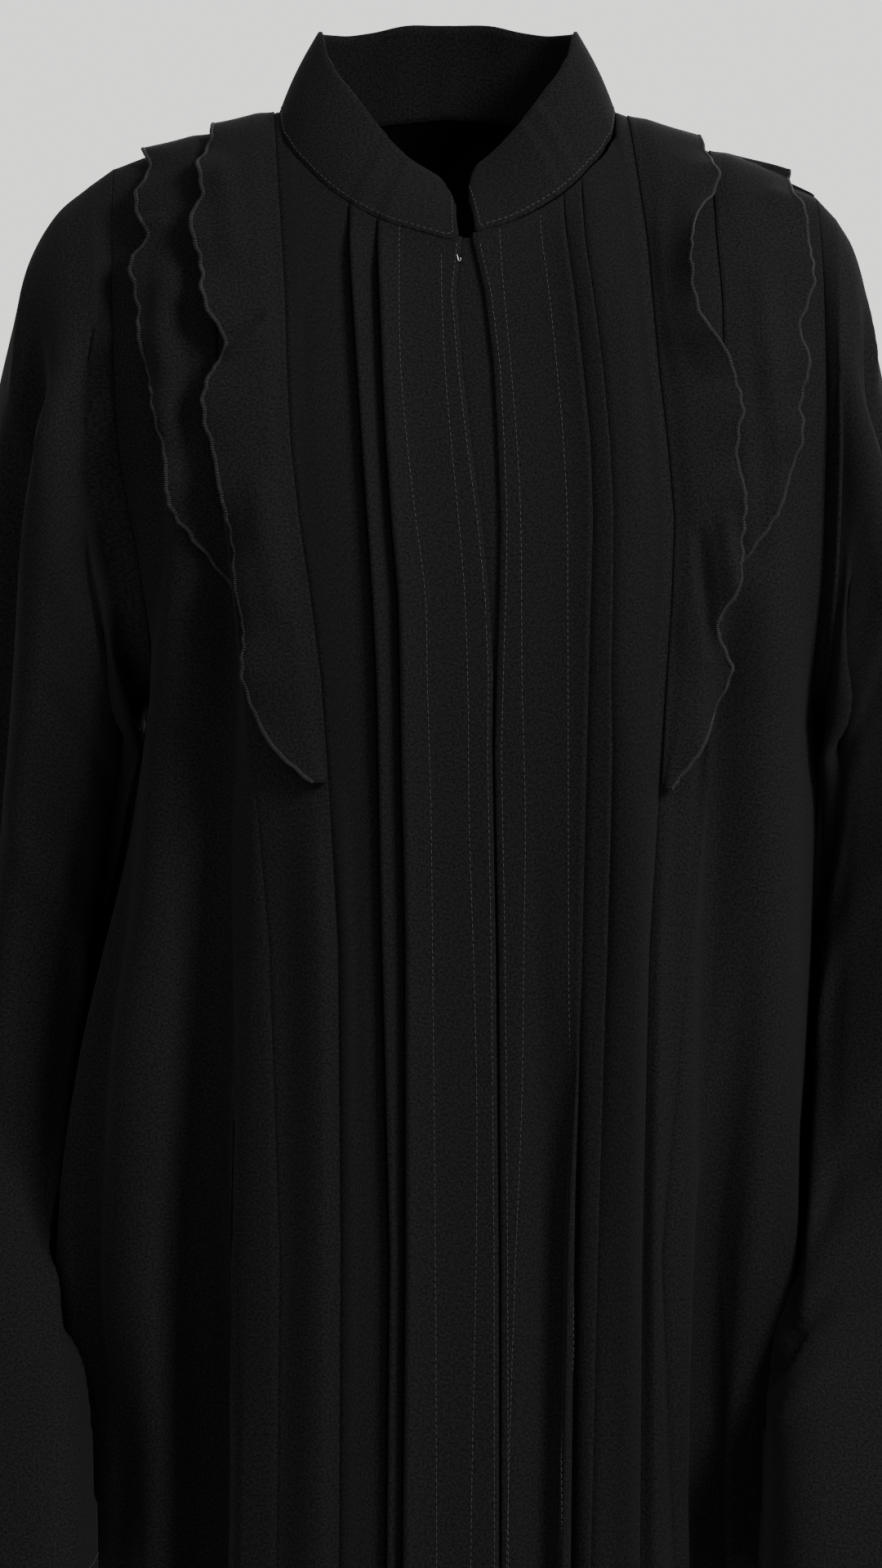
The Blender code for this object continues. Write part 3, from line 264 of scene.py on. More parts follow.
# %% Outlines of the ruffles
RUFFLES = {
    "ruffle_right_inner": {
        "side": "right",
        "seam": "seam_a",
        "edge": table(
            "level x stand wave",
            (0.006, -0.1262, 0.011, 0.001), (-0.013, -0.1255, 0.012, 0.004), (-0.034, -0.1298, 0.012, 0.007),
            (-0.050, -0.1270, 0.012, 0.008), (-0.062, -0.1308, 0.012, 0.009), (-0.089, -0.1262, 0.013, 0.010),
            (-0.113, -0.1215, 0.013, 0.010), (-0.130, -0.1130, 0.012, 0.011), (-0.150, -0.1200, 0.012, 0.010),
            (-0.165, -0.1221, 0.012, 0.009), (-0.192, -0.1165, 0.011, 0.009), (-0.220, -0.1120, 0.010, 0.009),
            (-0.247, -0.1078, 0.009, 0.009), (-0.285, -0.1018, 0.009, 0.008), (-0.304, -0.1012, 0.008, 0.008),
            (-0.321, -0.0964, 0.006, 0.006), (-0.341, -0.0845, 0.004, 0.004), (-0.361, -0.0628, 0.001, 0.0),
        ),
        "waves": (0.006, -0.020, -0.050, -0.088, -0.132, -0.182, -0.232, -0.276, -0.318, -0.361),
    },
    "ruffle_right_outer": {
        "side": "right",
        "seam": "seam_b",
        "edge": table(
            "level x stand wave",
            (-0.004, -0.1655, 0.010, 0.001), (-0.014, -0.1651, 0.010, 0.004), (-0.028, -0.1590, 0.009, 0.007),
            (-0.046, -0.1632, 0.009, 0.007), (-0.058, -0.1620, 0.009, 0.008), (-0.068, -0.1565, 0.009, 0.008),
            (-0.084, -0.1632, 0.009, 0.008), (-0.100, -0.1612, 0.009, 0.008), (-0.125, -0.1572, 0.009, 0.008),
            (-0.150, -0.1512, 0.009, 0.008), (-0.171, -0.1455, 0.009, 0.008), (-0.196, -0.1402, 0.008, 0.007),
            (-0.216, -0.1385, 0.007, 0.006), (-0.236, -0.1272, 0.004, 0.004), (-0.262, -0.1112, 0.001, 0.0),
        ),
        "waves": (-0.004, -0.028, -0.066, -0.108, -0.144, -0.182, -0.222, -0.262),
    },
    "ruffle_left_inner": {
        "side": "left",
        "seam": "seam_d",
        "edge": table(
            "level x stand wave",
            (0.008, 0.1322, 0.009, 0.001), (-0.006, 0.1340, 0.010, 0.004), (-0.024, 0.1380, 0.011, 0.007),
            (-0.046, 0.1395, 0.012, 0.009), (-0.062, 0.1282, 0.016, 0.010), (-0.088, 0.1225, 0.018, 0.011),
            (-0.106, 0.1250, 0.017, 0.011), (-0.124, 0.1310, 0.015, 0.011), (-0.142, 0.1440, 0.012, 0.010),
            (-0.160, 0.1488, 0.010, 0.009), (-0.178, 0.1462, 0.010, 0.009), (-0.205, 0.1482, 0.010, 0.009),
            (-0.237, 0.1478, 0.010, 0.009), (-0.255, 0.1445, 0.010, 0.009), (-0.275, 0.1368, 0.011, 0.010),
            (-0.300, 0.1455, 0.009, 0.008), (-0.325, 0.1350, 0.007, 0.006), (-0.344, 0.1235, 0.005, 0.004),
            (-0.364, 0.1095, 0.001, 0.0),
        ),
        "waves": (0.008, -0.020, -0.052, -0.112, -0.150, -0.190, -0.232, -0.276, -0.316, -0.364),
    },
    "ruffle_left_outer": {
        "side": "left",
        "seam": "seam_e",
        "edge": table(
            "level x stand wave",
            (-0.004, 0.1718, 0.010, 0.001), (-0.015, 0.1742, 0.010, 0.004), (-0.027, 0.1838, 0.010, 0.006),
            (-0.040, 0.1825, 0.010, 0.007), (-0.056, 0.1880, 0.010, 0.008), (-0.075, 0.1895, 0.010, 0.008),
            (-0.098, 0.1882, 0.010, 0.008), (-0.120, 0.1820, 0.010, 0.009), (-0.134, 0.1843, 0.010, 0.008),
            (-0.156, 0.1818, 0.009, 0.008), (-0.179, 0.1795, 0.009, 0.008), (-0.199, 0.1742, 0.008, 0.007),
            (-0.220, 0.1655, 0.006, 0.005), (-0.238, 0.1540, 0.003, 0.003), (-0.254, 0.1425, 0.001, 0.0),
        ),
        "waves": (-0.004, -0.032, -0.070, -0.120, -0.158, -0.194, -0.254),
    },
}

# %% [markdown]
# The tables have few rows, so a column is read between them: along a smooth curve where the cloth is
# soft, and along straight lines where a seam or a pressed edge has to stay crisp.

# %% Helpers for curves and tables
def smooth(tab, name, at, key="level"):
    """Read a column of a table at a key, along a smooth curve through its rows."""
    order = np.argsort(tab[key])
    xs, ys = tab[key][order], tab[name][order]
    slope = np.gradient(ys, xs)
    at = np.clip(np.asarray(at, float), xs[0], xs[-1])
    i = np.clip(np.searchsorted(xs, at) - 1, 0, len(xs) - 2)
    width = xs[i + 1] - xs[i]
    t = (at - xs[i]) / width
    return (
        ys[i] * (2 * t**3 - 3 * t**2 + 1)
        + ys[i + 1] * (3 * t**2 - 2 * t**3)
        + slope[i] * width * (t**3 - 2 * t**2 + t)
        + slope[i + 1] * width * (t**3 - t**2)
    )


def straight(tab, name, at, key="level"):
    """Read a column of a table at a key, along straight lines."""
    order = np.argsort(tab[key])
    return np.interp(at, tab[key][order], tab[name][order])


def ease(t):
    """0 to 1 with soft ends."""
    t = np.clip(t, 0, 1)
    return t * t * (3 - 2 * t)


def hump(t):
    """1 in the middle of a ridge or trough and 0 at its edge."""
    return 0.5 + 0.5 * np.cos(np.pi * np.clip(t, 0, 1))


def degrees_apart(first, second):
    return np.abs((first - second + 180) % 360 - 180)


def in_scene(name, data):
    """A new object at the origin, linked to the scene."""
    thing = bpy.data.objects.new(name, data)
    bpy.context.scene.collection.objects.link(thing)
    return thing

# %% [markdown]
# A place on the body is named by its level and its turn, which is 0 in the middle, -90 at the right
# side and 90 at the left. Pattern makers use side seam, armhole and shoulder in the same way.

# %% Where the cloth lies on the figure
def shoulder_level(x):
    """Height of the shoulder seam, and of the curve that it would follow across the neck."""
    slope = np.where(x < 0, SHOULDER_SLOPE["right"], SHOULDER_SLOPE["left"])
    soft, neck_slope = 0.03, 0.36
    across_neck = neck_slope * (math.hypot(NECK_HALF, soft) - np.hypot(x, soft))
    down_shoulder = -slope * (np.abs(x) - NECK_HALF)
    return SHOULDER_TOP + np.where(np.abs(x) > NECK_HALF, down_shoulder, across_neck)


def armhole_x(side, level):
    """How far out the armhole seam, or the side seam below it, lies."""
    return smooth(SECTIONS, side, level)


def underarm(side):
    """Level of the underarm, at the same share of the length on both sides."""
    share = (shoulder_end("right") - UNDERARM) / (shoulder_end("right") - HEM_LEVEL)
    return shoulder_end(side) - share * (shoulder_end(side) - HEM_LEVEL)


def shoulder_end(side):
    """Level of the shoulder seam's outer end."""
    out = TOWARDS[side] * float(armhole_x(side, -0.03))
    return float(shoulder_level(np.array(out)))


def side_width(side, turn, level):
    """Half the width of the figure: the armhole pulls it in at the underarm, most at the side."""
    above = np.maximum(level - underarm(side), 0)
    at_side = armhole_x(side, level) * (1 + ARMHOLE_SPREAD * (1 - np.exp(-above / ARMHOLE_RISE)))
    full = smooth(SECTIONS, side + "_full", level)
    return full + (at_side - full) * np.abs(np.sin(np.radians(turn))) ** 3


def across_at(turn, level):
    """How far to the side a place on the figure lies."""
    half = np.where(turn < 0, side_width("right", turn, level), side_width("left", turn, level))
    return np.sign(turn) * half * np.abs(np.sin(np.radians(turn))) ** (2 / SQUARENESS)


def turn_at(x, level):
    """The way round at a place: -90 at the right side, 0 in the middle, 90 at the left side."""
    x, level = np.broadcast_arrays(np.asarray(x, float), np.asarray(level, float))
    low, high = np.zeros(x.shape), np.full(x.shape, 90.0)
    side = np.where(x < 0, -1.0, 1.0)
    for _ in range(30):
        middle = (low + high) / 2
        beyond = np.abs(across_at(side * middle, level)) > np.abs(x)
        high = np.where(beyond, middle, high)
        low = np.where(beyond, low, middle)
    return side * (low + high) / 2


def edge_turn(side, level):
    """The way round at the armhole, or at the side seam below it."""
    way = TOWARDS[side]
    at_armhole = way * turn_at(way * armhole_x(side, level), level)
    return np.where(level > underarm(side) + 1e-6, at_armhole, 90.0)


def neckline_level(x, behind=False):
    seam = NECKLINE_BACK if behind else NECKLINE_FRONT
    return smooth(seam, "level", np.abs(x) / NECK_HALF, key="share")


def top_level(x, behind=False):
    """Level of the body's top edge: the neckline near the middle, the shoulder seam further out."""
    return np.where(np.abs(x) < NECK_HALF, neckline_level(x, behind), shoulder_level(x))

HIGHER_AT_HEM = 0.8  # a fold goes on growing down to the hem
FOLD_CREST = 1.2  # more makes the folds' crests narrower


def fold_relief(folds, turn, level):
    """How far the hanging folds lift the cloth."""
    lift = np.zeros(np.broadcast(turn, level).shape)
    for i, start in enumerate(folds["start_level"]):
        run = np.clip((start - level) / (start - HEM_LEVEL), 0, 1)
        middle = folds["start_turn"][i] + (folds["end_turn"][i] - folds["start_turn"][i]) * run
        across = hump(np.abs(turn - middle) / folds["half_width"][i]) ** FOLD_CREST
        grown = ease(run / folds["grow_from"][i]) * (1 + HIGHER_AT_HEM * run)
        deeper = 1 + DEEPER * ease((level - HEM_LEVEL) / DEEPER_FROM)
        lift = lift + deeper * folds["height"][i] * grown * across
    return lift


def underarm_fill(turn, level):
    """Just below the armhole the cloth is pulled out towards the sleeve, at the very side alone."""
    fill_level, reach, at_side = -0.335, 0.036, 12
    below = np.exp(-(((level - fill_level) / reach) ** 2))
    return UNDERARM_FILL * below * np.abs(np.sin(np.radians(turn))) ** at_side


# %% [markdown]
# A knife pleat is cloth folded back on itself and pressed. From outside it is a sharp fold edge with a
# step down behind it, and a shadow line in the step. The cloth swells softly towards the fold edge. A
# profile across the fold gives all three, and the columns of the mesh crowd together at the step.

# %% Knife pleats
FINE_RISER = 0.0014  # how far the cloth takes to step down
FINE_DEPTH = 0.0052
GROOVE = 0.5  # depth of the shadow line as a share of the pleat's own depth
GROOVE_WIDTH = 0.0032
PLEATS = (("pleat_r1", -1, 0.012), ("pleat_r2", -1, 0.011), ("pleat_l1", 1, 0.010), ("pleat_l2", 1, 0.012))
FLAT_AT_TOP = {"share": 0.35, "below": -0.10, "over": 0.11}  # the pleats are flatter near the shoulder
SEWN_SHARE, SEWN_OVER = 0.35, 0.03  # what the neck seam leaves of their depth, and how far it acts


def pleat_relief(x, level):
    """The step of each knife pleat, its groove, and the soft roll of the cloth beside it."""
    lift = np.zeros(np.broadcast(x, level).shape)
    fade = 1 - FLAT_AT_TOP["share"] * ease((level - FLAT_AT_TOP["below"]) / FLAT_AT_TOP["over"])
    for name, way, roll in PLEATS:
        behind_line = (x - straight(LINES, name, level)) * way
        step = ease(behind_line / FINE_RISER)
        groove = -GROOVE * step * np.exp(-np.maximum(behind_line - FINE_RISER, 0) / GROOVE_WIDTH)
        fall = np.where(behind_line < 0, np.exp(behind_line / roll), 1 - step + groove)
        lift = lift + FINE_DEPTH * fade * fall
    sewn_down = SEWN_SHARE + (1 - SEWN_SHARE) * ease((neckline_level(x) - level) / SEWN_OVER)
    return lift * np.where(np.abs(x) < NECK_HALF, sewn_down, 1)


# %% [markdown]
# Creases are smaller than folds and never even. Each row here is one: three points in the front view,
# how wide it is, and how high. A minus height is a trough. The ends fade out.

# %% Creases, placed one by one
CREASES = table(
    "x0 z0 x1 z1 x2 z2 half_width height",
    (-0.1290, -0.200, -0.1480, -0.370, -0.1680, -0.600, 0.020, 0.0100),
    (-0.1560, -0.420, -0.1700, -0.620, -0.1760, -0.900, 0.020, 0.0080),
    (-0.1180, -0.180, -0.1240, -0.440, -0.1220, -1.060, 0.026, -0.0165),
    (-0.1420, -0.520, -0.1460, -0.660, -0.1480, -0.900, 0.012, -0.0040),
    (-0.1460, -0.060, -0.1440, -0.150, -0.1400, -0.250, 0.012, 0.0045),
    (-0.0690, -0.340, -0.0640, -0.560, -0.0720, -1.000, 0.020, 0.0060),
    (-0.1420, -0.120, -0.1500, -0.200, -0.1480, -0.290, 0.009, -0.0022),
    (-0.1100, -0.330, -0.1160, -0.420, -0.1120, -0.520, 0.008, 0.0022),
    (0.0250, -0.274, 0.0175, -0.270, 0.0100, -0.265, 0.0032, -0.0012),
    (0.0240, -0.266, 0.0170, -0.262, 0.0100, -0.259, 0.0036, 0.0011),
    (0.0270, -0.514, 0.0190, -0.510, 0.0110, -0.505, 0.0032, -0.0012),
    (0.0260, -0.506, 0.0190, -0.502, 0.0120, -0.498, 0.0036, 0.0010),
    (0.1560, -0.110, 0.1620, -0.190, 0.1600, -0.270, 0.009, -0.0020),
    (0.1700, -0.180, 0.1700, -0.440, 0.1640, -0.860, 0.022, 0.0080),
    (0.1480, -0.240, 0.1420, -0.480, 0.1360, -1.060, 0.020, -0.0130),
    (0.1000, -0.260, 0.0980, -0.560, 0.1040, -1.000, 0.020, 0.0070),
    (0.0540, -0.440, 0.0520, -0.720, 0.0500, -1.160, 0.020, -0.0100),
    (-0.0720, -0.060, -0.0760, -0.160, -0.0700, -0.250, 0.007, -0.0010),
    (0.0900, -0.070, 0.0960, -0.160, 0.0980, -0.240, 0.007, 0.0010),
    (0.0450, -0.360, 0.0470, -0.470, 0.0440, -0.600, 0.009, -0.0012),
    (-0.0420, -0.330, -0.0400, -0.430, -0.0420, -0.540, 0.009, 0.0010),
    (-0.1900, -0.560, -0.1850, -0.620, -0.1720, -0.680, 0.012, -0.0026),
    (0.1720, -0.560, 0.1700, -0.650, 0.1640, -0.740, 0.012, -0.0026),
)
BACK_CREASES = table(
    "x0 z0 x1 z1 x2 z2 half_width height",
    (-0.1500, -0.070, -0.1350, -0.160, -0.1400, -0.260, 0.012, -0.0030),
    (-0.1000, -0.060, -0.0900, -0.130, -0.0950, -0.220, 0.012, 0.0022),
    (-0.1560, -0.300, -0.1300, -0.360, -0.0900, -0.400, 0.012, -0.0030),
    (0.1600, -0.310, 0.1300, -0.370, 0.0800, -0.400, 0.012, -0.0030),
    (0.1550, -0.080, 0.1400, -0.170, 0.1450, -0.270, 0.012, -0.0030),
    (0.1000, -0.060, 0.0950, -0.140, 0.1000, -0.230, 0.012, 0.0022),
    (-0.0500, -0.420, 0.0000, -0.440, 0.0550, -0.425, 0.014, -0.0026),
    (-0.0300, -0.050, 0.0000, -0.058, 0.0350, -0.050, 0.009, -0.0014),
    (0.0300, -0.480, 0.0100, -0.560, 0.0150, -0.660, 0.012, 0.0024),
    (-0.0800, -0.470, -0.0700, -0.560, -0.0780, -0.660, 0.012, 0.0024),
)
CURVE_STEPS = 9
END_FADE = 0.3  # share of a crease over which an end fades out


def crease_relief(creases, x, level):
    """How far the creases lift the cloth: each is a short curve, and counts by the distance to it."""
    lift = np.zeros(np.broadcast(x, level).shape)
    along = np.linspace(0, 1, CURVE_STEPS)
    first, middle, last = (1 - along) ** 2, 2 * along * (1 - along), along**2
    for i, half_width in enumerate(creases["half_width"]):
        x0, x1, x2 = (creases[f"x{k}"][i] for k in range(3))
        z0, z1, z2 = (creases[f"z{k}"][i] for k in range(3))
        cx = first * x0 + middle * (2 * x1 - (x0 + x2) / 2) + last * x2
        cz = first * z0 + middle * (2 * z1 - (z0 + z2) / 2) + last * z2
        nearest, where = np.full(lift.shape, np.inf), np.zeros(lift.shape)
        for k in range(CURVE_STEPS - 1):
            run_x, run_z = cx[k + 1] - cx[k], cz[k + 1] - cz[k]
            share = ((x - cx[k]) * run_x + (level - cz[k]) * run_z) / (run_x**2 + run_z**2)
            share = np.clip(share, 0, 1)
            off = np.hypot(x - cx[k] - share * run_x, level - cz[k] - share * run_z)
            where = np.where(off < nearest, along[k] + share * (along[k + 1] - along[k]), where)
            nearest = np.minimum(nearest, off)
        ends = ease(where / END_FADE) * ease((1 - where) / END_FADE)
        lift = lift + creases["height"][i] * ends * hump(nearest / half_width)
    return lift


print("creases in front", len(CREASES["x0"]), "and behind", len(BACK_CREASES["x0"]))

# %% [markdown]
# With all reliefs known, any turn and level gives a point of the cloth and the way it faces there.
# Every panel, ruffle and stitch is made from these, so they lie on each other.

# %% Points and directions on the cloth
def body_point(turn, level, behind=False):
    """A point on the cloth of the body: turn is -90 at the right side, 0 in the middle, 90 at the left."""
    turn, level = np.broadcast_arrays(np.asarray(turn, float), np.asarray(level, float))
    across = across_at(turn, level)
    rounding = SHOULDER_ROUND["back" if behind else "front"]
    fall = np.clip((shoulder_level(across) - level) / rounding, 0, 1)
    cap = np.sqrt(np.maximum(1 - (1 - fall) ** 2, 0))
    stand = smooth(SECTIONS, "back" if behind else "front", level)
    away = stand * np.abs(np.cos(np.radians(turn))) ** (2 / SQUARENESS) * cap
    lift = fold_relief(BACK_FOLDS if behind else FOLDS, turn, level) + underarm_fill(turn, level)
    if not behind:
        lift = lift + pleat_relief(across, level)
    out_x = np.sin(np.radians(turn))
    out_y = np.cos(np.radians(turn))
    forward = 1 if behind else -1
    return np.stack(
        [across + out_x * lift, forward * (away + out_y * lift + SEAM_GAP / 2), level], axis=-1
    )


def unit(v):
    return v / np.maximum(np.linalg.norm(v, axis=-1, keepdims=True), 1e-12)


def body_normal(turn, level, behind=False):
    """Which way the cloth of the body faces, from points close around."""
    near_turn, near_level, below_edge = 0.4, 0.0015, 0.0004
    edge = shoulder_level(across_at(turn, level)) - below_edge
    level = np.minimum(level, edge - 2 * near_level)
    top = level + near_level
    first, second = np.maximum(turn - near_turn, -90), np.minimum(turn + near_turn, 90)
    across = body_point(second, level, behind) - body_point(first, level, behind)
    down = body_point(turn, level - near_level, behind) - body_point(turn, top, behind)
    return unit(np.cross(across, down) if behind else np.cross(down, across))


def grid_normals(grid, looped=False):
    """Which way a grid of cloth faces: its rows run down and its columns run to the left."""
    down = np.gradient(grid, axis=0)
    if looped:
        across = np.roll(grid, -1, axis=1) - np.roll(grid, 1, axis=1)
    else:
        across = np.gradient(grid, axis=1)
    return unit(np.cross(down, across))

# %% [markdown]
# Crepe is a dull cloth with a fine pebbled grain from its tightly twisted yarns. The grain is too
# small to model, so it is a bump in the material, and the twisted yarns take the dye a little unevenly,
# so the colour is mottled too. The cloth's own UV map is in metres, so the grain keeps its size on every
# piece and runs with the cloth.

# %% The black crepe
def plain(name, colour, roughness, metallic=0.0, specular=0.12):
    mat = bpy.data.materials.new(name)
    mat.use_nodes = True
    shader = mat.node_tree.nodes["Principled BSDF"]
    shader.inputs["Base Color"].default_value = colour
    shader.inputs["Roughness"].default_value = roughness
    shader.inputs["Metallic"].default_value = metallic
    shader.inputs["Specular IOR Level"].default_value = specular
    return mat


def crepe(name, colour, roughness, sheen):
    mat = plain(name, colour, roughness, specular=0.015)
    nodes, links = mat.node_tree.nodes, mat.node_tree.links
    shader = nodes["Principled BSDF"]
    shader.inputs["Sheen Weight"].default_value = sheen
    shader.inputs["Sheen Roughness"].default_value = 0.5
    coordinates = nodes.new("ShaderNodeTexCoord")

    def noise(per_metre, detail, rough=0.5):
        node = nodes.new("ShaderNodeTexNoise")
        node.inputs["Scale"].default_value = per_metre
        node.inputs["Detail"].default_value = detail
        node.inputs["Roughness"].default_value = rough
        links.new(coordinates.outputs["UV"], node.inputs["Vector"])
        return node.outputs["Fac"]

    together = nodes.new("ShaderNodeMath")
    together.operation = "MULTIPLY_ADD"
    together.inputs[1].default_value = 0.35  # how much the soft unevenness counts beside the grain
    links.new(noise(90.0, 3.0), together.inputs[0])
    links.new(noise(1400.0, 2.0, 0.6), together.inputs[2])
    bump = nodes.new("ShaderNodeBump")
    bump.inputs["Strength"].default_value = 0.55
    bump.inputs["Distance"].default_value = 0.0004
    links.new(together.outputs["Value"], bump.inputs["Height"])
    links.new(bump.outputs["Normal"], shader.inputs["Normal"])
    shade = nodes.new("ShaderNodeValToRGB")
    for stop, place, share in zip(shade.color_ramp.elements, (0.36, 0.64), (0.55, 1.5)):
        stop.position = place
        stop.color = tuple(share * c for c in colour[:3]) + (1.0,)
    links.new(noise(750.0, 3.0), shade.inputs["Fac"])
    links.new(shade.outputs["Color"], shader.inputs["Base Color"])
    return mat


BLACK_CREPE = crepe("fine black crepe", (0.0023, 0.0022, 0.0023, 1.0), 0.82, 0.005)
# The thread's base is lighter than the cloth's black: partly its own grey tone, partly painted sheen for the
# highlights on its twist.
THREAD = plain("sewing thread, own tone and painted sheen", (0.0100, 0.0097, 0.0100, 1.0), 0.5)
HOOK_WIRE = plain("hook wire", (0.45, 0.45, 0.44, 1.0), 0.38, 1.0)
print("materials:", BLACK_CREPE.name, THREAD.name, HOOK_WIRE.name)

# %% [markdown]
# Every piece of cloth is a grid of points with a wall on both sides of it. The rim gets a middle line
# that stands out a little, so a cut edge or a fold looks round and not like the edge of a board.

# %% Walls of cloth
def border(rows, cols, looped):
    """The grid's outer points in order, each with the point further in that it leads away from."""
    if looped:
        top = [((0, c), (1, c)) for c in range(cols)]
        low = [((rows - 1, c), (rows - 2, c)) for c in reversed(range(cols))]
        return [top, low]
    ring = [((0, c), (1, c)) for c in range(cols - 1)]
    ring += [((r, cols - 1), (r, cols - 2)) for r in range(rows - 1)]
    ring += [((rows - 1, c), (rows - 2, c)) for c in range(cols - 1, 0, -1)]
    ring += [((r, 0), (r, 1)) for r in range(rows - 1, 0, -1)]
    return [ring]


RIM_ROUND = 0.8  # how far the rim's middle stands out, as a share of half the thickness


def cloth(name, grid, normals, thickness, looped=False):
    """One closed wall round a grid of points, with a rounded rim and a UV map in metres."""
    rows, cols = grid.shape[:2]
    half = thickness / 2
    outer = (grid + half * normals).reshape(-1, 3)
    inner = (grid - half * normals).reshape(-1, 3)
    under = rows * cols
    rims, rim_points = border(rows, cols, looped), []
    wrap = cols if looped else cols - 1
    r, c = np.meshgrid(np.arange(rows - 1), np.arange(wrap), indexing="ij")
    here, there = r * cols + c, r * cols + (c + 1) % cols
    quads = np.stack([here, here + cols, there + cols, there], -1).reshape(-1, 4)
    faces = quads.tolist() + (quads[:, ::-1] + under).tolist()
    start = 2 * under
    for ring in rims:
        count = len(ring)
        for place, inside in ring:
            away = unit(grid[place] - grid[inside])
            rim_points.append(grid[place] + away * half * RIM_ROUND)
        for k in range(count):
            (r0, c0), (r1, c1) = ring[k][0], ring[(k + 1) % count][0]
            a, b = r0 * cols + c0, r1 * cols + c1
            m, n = start + k, start + (k + 1) % count
            faces.append((m, a, b, n))
            faces.append((a + under, m, n, b + under))
        start += count
    points = np.concatenate([outer, inner, np.array(rim_points)])
    mesh = bpy.data.meshes.new(name)
    mesh.from_pydata(points.tolist(), [], faces)
    mesh.update()
    across = np.linalg.norm(np.diff(grid, axis=1), axis=2)
    down = np.linalg.norm(np.diff(grid, axis=0), axis=2).mean(axis=1)
    u = np.concatenate([np.zeros((rows, 1)), np.cumsum(across, axis=1)], axis=1)
    u = u - u.mean(axis=1, keepdims=True)
    v = -np.concatenate([[0], np.cumsum(down)])
    flat = np.stack(np.broadcast_arrays(u, v[:, None]), axis=-1).reshape(-1, 2)
    rim_flat = [flat[place[0] * cols + place[1]] for ring in rims for place, _ in ring]
    flat = np.concatenate([flat, flat, np.array(rim_flat)])
    uv = mesh.uv_layers.new(name="cloth in metres")
    corner = np.empty(len(mesh.loops), dtype=np.int32)
    mesh.loops.foreach_get("vertex_index", corner)
    uv.data.foreach_set("uv", flat[corner].astype(np.float32).ravel())
    mesh.shade_smooth()
    mesh.materials.append(BLACK_CREPE)
    piece = in_scene(name, mesh)
    one_side = cloth_area(grid, looped)
    print(f"{name}: {2 * len(faces)} triangles at most, {one_side:.4f} m2 of one layer")
    return piece


def cloth_area(grid, looped=False):
    if looped:
        grid = np.concatenate([grid, grid[:, :1]], axis=1)
    a, b, c, d = grid[:-1, :-1], grid[1:, :-1], grid[1:, 1:], grid[:-1, 1:]
    halves = np.cross(b - a, c - a), np.cross(c - a, d - a)
    return float(sum(np.linalg.norm(half, axis=-1).sum() for half in halves) / 2)


# %% [markdown]
# All panels share their rows: close ones down the armhole, where the cloth turns over the shoulder,
# and wider ones down the skirt. Columns run between the named lines.

# %% Rows and columns of the fine panels
ARMHOLE_SHARE = (shoulder_end("right") - UNDERARM) / (shoulder_end("right") - HEM_LEVEL)
FINE_ARMHOLE = 5 * ARMHOLE_STEPS
FINE_SKIRT = 150
armhole_rows = ARMHOLE_SHARE * 0.5 * (1 - np.cos(np.pi * np.arange(FINE_ARMHOLE + 1) / FINE_ARMHOLE))
ROWS_WIDEN = 1.15
down_skirt = (np.arange(1, FINE_SKIRT + 1) / FINE_SKIRT) ** ROWS_WIDEN
skirt_rows = ARMHOLE_SHARE + (1 - ARMHOLE_SHARE) * down_skirt
FINE_ROWS = np.concatenate([armhole_rows, skirt_rows])


def lines_between(names, steps):
    """Columns of cloth between named lines: for each, its two lines and its share of the way."""
    columns = [(names[0], names[1], 0.0)]
    for first, second, count in zip(names, names[1:], steps):
        columns += [(first, second, (i + 1) / count) for i in range(count)]
    return columns


def column_x(name, level, side):
    """Where a named line of a front lies at a level."""
    if name == "armhole":
        return TOWARDS[side] * armhole_x(side, level)
    base, _, shift = name.partition(" ")
    return straight(LINES, base, level) + (float(shift) if shift else 0.0)


def fine_levels(top):
    return top[None, :] + (HEM_LEVEL - top[None, :]) * FINE_ROWS[:, None]


def lifted(grid, normals, lift):
    return grid + lift[..., None] * normals


# %% [markdown]
# A front panel is built between its lines. The relief of the creases goes on last, along the cloth's
# own direction, and dies away at the seams, where the sewing holds the cloth flat.

# %% The front panels
SOFT_NOTCH = np.linspace(-0.03, 0.03, 13)  # the panel's inner columns pass the underarm softly
AT_EDGE = 6  # more keeps the underarm's own sharp turn closer to the edge


def front_grid(side, names, steps):
    way = TOWARDS[side]
    marks = lines_between(names, steps)
    inset = SEAM_GAP / 2
    shares = np.array([share for _, _, share in marks])

    def line_xs(level):
        x = np.empty_like(level)
        for k, (first, second, share) in enumerate(marks):
            start, end = column_x(first, level[:, k], side), column_x(second, level[:, k], side)
            x[:, k] = start + (end - start) * share
        x[:, 0] += way * inset
        if names[-1] != "armhole":
            x[:, -1] -= way * inset
        return x

    top_x = line_xs(np.full((1, len(marks)), TOP_OF_LINES))[0]
    level = fine_levels(top_level(top_x))
    x = line_xs(level)
    turn = turn_at(x, level)
    if names[-1] == "armhole":
        last = edge_turn(side, level[:, -1]) * way
        around_it = level[:, -1:] + SOFT_NOTCH[None, :]
        soft = edge_turn(side, np.minimum(around_it, level[0, -1])).mean(axis=1) * way
        at_column = soft[:, None] + (last - soft)[:, None] * shares[None, :] ** AT_EDGE
        turn = turn[:, :1] + (at_column - turn[:, :1]) * shares[None, :]
    if way < 0:
        turn, level = turn[:, ::-1], level[:, ::-1]
    return turn, level


def seam_fade(grid, reach=0.007):
    """0 at the panel's long edges and 1 from a little way in."""
    step = np.linalg.norm(np.diff(grid, axis=1), axis=2)
    run = np.concatenate([np.zeros((len(grid), 1)), np.cumsum(step, axis=1)], axis=1)
    return ease(np.minimum(run, run[:, -1:] - run) / reach)


def front_piece(name, side, names, steps):
    turn, level = front_grid(side, names, steps)
    grid = body_point(turn, level)
    normals = grid_normals(grid)
    lift = crease_relief(CREASES, grid[..., 0], level) * seam_fade(grid)
    grid = lifted(grid, normals, lift)
    return cloth(name + "_cloth", grid, grid_normals(grid), FINE_CLOTH)


